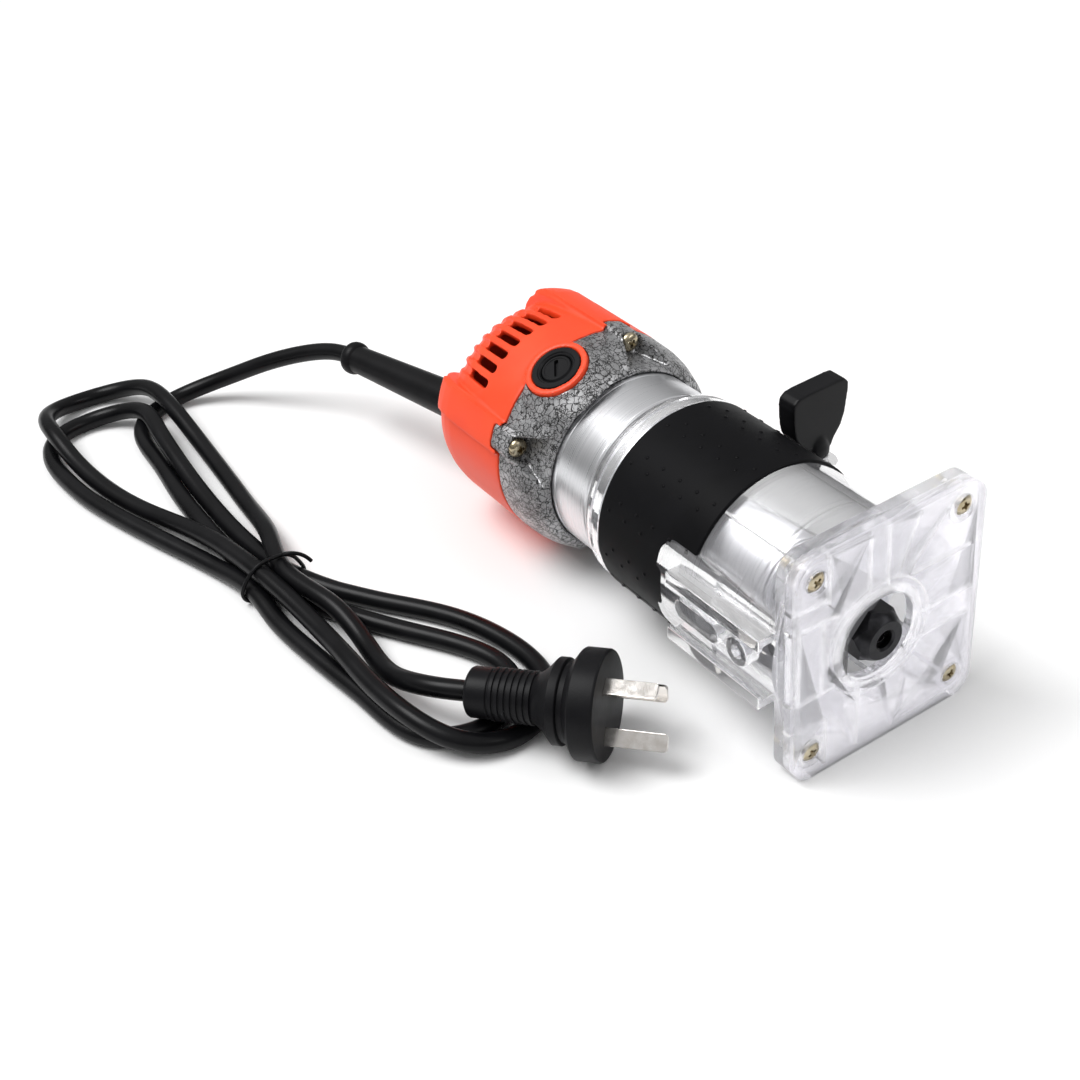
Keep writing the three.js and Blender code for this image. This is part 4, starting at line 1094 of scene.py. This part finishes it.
def base_shell():
    sleeve = lathe(
        [
            (BASE_REAR, BASE_BORE), (FLANGE_REAR + 1, BASE_BORE), (FLANGE_REAR + 1, BASE_FRONT_R),
            (GRIP_FRONT + GAP, BASE_FRONT_R), (GRIP_FRONT + GAP, BASE_R), (COLLAR_FRONT, BASE_R), (COLLAR_FRONT, 38.3),
            (COLLAR_FRONT - 0.5, 38.6), (COLLAR_FRONT - 3, 38.6), (COLLAR_FRONT - 3.6, 37.9), (COLLAR_FRONT - 5, 37.9),
            (COLLAR_FRONT - 5.6, 38.4), (BASE_REAR + 3, 38.2), (BASE_REAR + 0.6, 37.2), (BASE_REAR, 36.8),
        ],
        144,
    )
    flange = slab(rounded(PLATE_Y, PLATE_Z, PLATE_CORNER, 8), FLANGE_REAR, FLANGE_FRONT)
    ears = []
    for side in (1, -1):
        ear = rounded((CLAMP.x - 10, CLAMP.x + 10), (34, CLAMP.y + 7), 6, 8)
        ears.append(prism(ear, *mirrored((SPLIT / 2, EAR_TOP), side)))
    band = lathe([(-72, 36.9), (-22.5, 36.9), (-22.5, 39.3), (-23.3, 39.5), (-71.5, 39.5), (-72, 39.2)], 144)
    pad = common(band, prism(pad_outline(0.35), 20, 50, ACROSS_Y))
    bar_between = prism(rounded((-56, -33), (-4, 4), 3.6), 36.5, 41.5, ACROSS_Y)
    eye = prism(circle(-24, 0, 5.5), 36.4, 41.1, ACROSS_Y)
    rounded_pieces = [bevel(p, 0.45, 3, 40) for p in (flange, *ears, guide_rail(1), guide_rail(-1), bar_between, eye)]
    body = join(sleeve, pad, *rounded_pieces)
    bore = rod(BASE_REAR - 6, FLANGE_REAR + 1.5, BASE_BORE, 144)
    mouth = rod(FLANGE_REAR + 1, 0, 27, 96)
    split = box((BASE_REAR - 6, -30), (25, 60), (-SPLIT / 2, SPLIT / 2))
    stud_hole = prism(circle(CLAMP.x, CLAMP.y, 2.9), -20, 20)
    eye_hole = prism(circle(-24, 0, 2.6), 30, 50, ACROSS_Y)
    screw_holes = [shift(rod(-20, 0, 1.9, 32), 0, y, z) for y, z in SCREW_PLACES]
    windows = [
        turn(prism(rounded((-38, -14), (-14, 14), 5), 28, 48), 180),
        turn(prism(rounded((-38, -16), (-10, 10), 5), 28, 48), -52),
    ]
    body = cut(body, bore, mouth, split, stud_hole, eye_hole, *screw_holes, *windows)
    return finish_piece(body, "base_shell", "base", "clear_plastic", "base_body", smooth_angle=14)


# Straight ribs on the plate's back, each from (y, z) to (y, z).
RIBS = [
    ((-5, 19), (-5, 43)), ((3, 19), (3, 43)), ((7.4, 21), (16.1, 43)), ((12.2, 20), (28.5, 38)),
    ((14, 18.5), (42, 18.5)), ((14, -10.5), (42, -10.5)), ((13, -12), (31, -32)), ((-8, -18), (-8, -44)),
    ((0.6, -17), (8.8, -44)), ((19, 0), (43, 0)), ((-34, -12), (-34, 18)), ((-24, -12), (-24, 18)),
    ((-37, -12), (-19, -12)), ((-37, 18), (-18, 18)), ((-22, -24), (-22, -44)), ((-22, 24), (-22, 43)),
    ((-37, -24), (-22, -24)), ((-37, 26), (-22, 26)),
]


def sole_plate():
    (y0, y1), (z0, z1) = PLATE_Y, PLATE_Z
    deep = (PLATE_BACK, -2.2)
    skin = slab(rounded(PLATE_Y, PLATE_Z, PLATE_CORNER, 8), -2.4, 0)
    rim = slab(rounded(PLATE_Y, PLATE_Z, PLATE_CORNER, 8), *deep)
    inside = rounded((y0 + 3, y1 - 3), (z0 + 3, z1 - 3), PLATE_CORNER - 3, 8)
    rim = cut(rim, slab(inside, PLATE_BACK - 1, 0))
    ribs = [slab(bar(a, b, 1.4), PLATE_BACK, -2.2) for a, b in RIBS]
    collars = [
        lathe([(PLATE_BACK, 16.6), (-2.2, 16.6), (-2.2, 19.6), (PLATE_BACK, 19.6)], 96),
        lathe([(PLATE_BACK + 1.4, 21.4), (-2.2, 21.4), (-2.2, 22.4), (PLATE_BACK + 1.4, 22.4)], 96),
    ]
    bosses = [slab(circle(y, z, 6.4), *deep) for y, z in SCREW_PLACES]
    plate = join(skin, rim, *ribs, *collars, *bosses)
    holes = [shift(rod(-10, 1, 2.1, 32), 0, y, z) for y, z in SCREW_PLACES]
    seats = [shift(rod(-2.9, 1, 4.4, 48), 0, y, z) for y, z in SCREW_PLACES]
    plate = cut(plate, rod(-10, 1, 16.6, 96), *holes, *seats)
    plate = bevel(plate, 0.4, 3, 40)
    return finish_piece(plate, "sole_plate", "base", "clear_plastic", "sub_base", smooth_angle=14)


def base_screw(i):
    screw = turn(pan_screw(3.9, 2.3, 1.6, 7), 25 * i)
    at = middle(f"base_screw_{i}")
    screw = shift(screw, span(f"base_screw_{i}", X)[1], at.y, at.z)
    return finish_piece(screw, f"sole_screw_{i}", "base", "zinc_screw", f"base_screw_{i}")


NUB_PITCH = 9.2
NUB_R = 0.85


def grip():
    """Rubber sleeve with a cut-out round the rails' pad, a seam and small round nubs."""
    sleeve = lathe(
        [
            (GRIP_REAR, BASE_R + GAP), (GRIP_FRONT, BASE_R + GAP), (GRIP_FRONT, GRIP_R - 0.4), (GRIP_FRONT - 0.5, GRIP_R),
            (GRIP_REAR + 0.5, GRIP_R), (GRIP_REAR, GRIP_R - 0.4),
        ],
        144,
    )
    ear_room = box((CLAMP.x - 14, CLAMP.x + 14), (20, 60), (-13, 13))
    pad_room = prism(pad_outline(0), 20, 50, ACROSS_Y)
    seam = box((GRIP_REAR - 5, PAD_REAR + 4), (-50, -20), (-17.4, -16.6))
    sleeve = cut(sleeve, ear_room, pad_room, seam)
    sleeve = bevel(sleeve, 0.35, 2, 50)
    nubs = []
    rows = round((GRIP_FRONT - GRIP_REAR - 6) / (NUB_PITCH * 0.5))
    around = 26
    for row in range(rows):
        x = GRIP_REAR + 4.5 + row * NUB_PITCH * 0.5
        for step in range(around):
            angle = 360 * (step + (row % 2) / 2) / around
            beside_pad = x > PAD_REAR - 2.5 and 68 < angle < 112 + 8
            beside_ears = abs(x - CLAMP.x) < 15.5 and 246 < angle < 294
            if row % 2 == step % 2 or beside_pad or beside_ears:
                continue
            dome = lathe([(-0.3, 0), (-0.3, NUB_R), (0.1, NUB_R * 0.85), (0.32, NUB_R * 0.45), (0.38, 0)], 10)
            nubs.append(turn(turn(dome, -90, "Y"), 0))
            shift(nubs[-1], x, 0, GRIP_R)
            turn(nubs[-1], angle)
    sleeve = loose_join(sleeve, *nubs)
    return finish_piece(sleeve, "grip", "base", "grip_rubber", "grip_sleeve")


def clamp():
    """Flat winged knob on its stem, with the stud, the washer and the nut below the ears."""
    wing = [
        (-5.6, 13.5), (-6.6, 16), (-9.6, 19), (-11.8, 22.8), (-12.7, 27), (-13.2, 34.8), (-12.7, 37.6), (-10.6, 39.2),
        (-8, 39.6), (8, 40), (11.2, 39.6), (12.9, 37.8), (13, 34.6), (11.7, 25.4), (10, 20.6), (6.6, 16), (5.6, 13.5),
    ]
    paddle = slab(wing, -4.2, 4.2)
    stem = turn(lathe([(10.8, 0), (10.8, 5.9), (11.4, 6.3), (14, 6.3), (17, 5.4), (19.5, 4.4), (20, 3.4), (20, 0)], 64), -90, "Y")
    bore = turn(rod(0, 23, 2.8, 32), -90, "Y")
    knob = soften(cut(join(paddle, stem), bore), 0.4, 9, 0.5)
    place_on = Matrix.Translation((CLAMP.x, CLAMP.y, 0))
    finish_piece(move(knob, place_on), "knob", "clamp", "black_plastic", "clamp_knob")

    threads = [p for i in range(16) for p in ((-15.4 + i * 0.9, 2.5), (-14.95 + i * 0.9, 2.2))]
    stud = lathe([(-16, 0), (-16, 2), *threads, (0, 2.5), (22.2, 2.5), (22.6, 2.1), (22.6, 0)], 32)
    finish_piece(move(turn(stud, -90, "Y"), place_on), "stud", "clamp", "steel", "clamp_stud")

    low, high = EAR_TOP + GAP, EAR_TOP + 1.5
    washer = lathe([(low, 2.8), (low, 5.8), (low + 0.2, 6), (high - 0.2, 6), (high, 5.8), (high, 2.8)], 64)
    finish_piece(move(turn(washer, -90, "Y"), place_on), "washer", "clamp", "steel", "clamp_washer")

    ends = (-EAR_TOP - 4.3, -EAR_TOP - GAP)
    nut = common(rod(*ends, 4.6, 6), lathe([(ends[0], 0), (ends[0], 3.9), (ends[0] + 0.7, 4.7), (ends[1], 4.7), (ends[1], 0)], 64))
    nut = cut(nut, rod(-20, 0, 2.8, 32))
    return finish_piece(move(turn(nut, -90, "Y"), place_on), "nut_below", "base", "steel", "clamp_nut", smooth_angle=25)


base_shell()
sole_plate()
for number in SCREWS:
    base_screw(number)
grip()
clamp()

# ---------------------------------------------------------------- inside
SLOT_OF = {part["node"]: part["material_slot"] for part in frame["record"]["subparts"]}
for name, cad_piece in frame["nodes"].items():
    if not cad_piece.hide_render:
        cad_piece.data.materials.clear()
        cad_piece.data.materials.append(MATERIALS[SLOT_OF[name]])
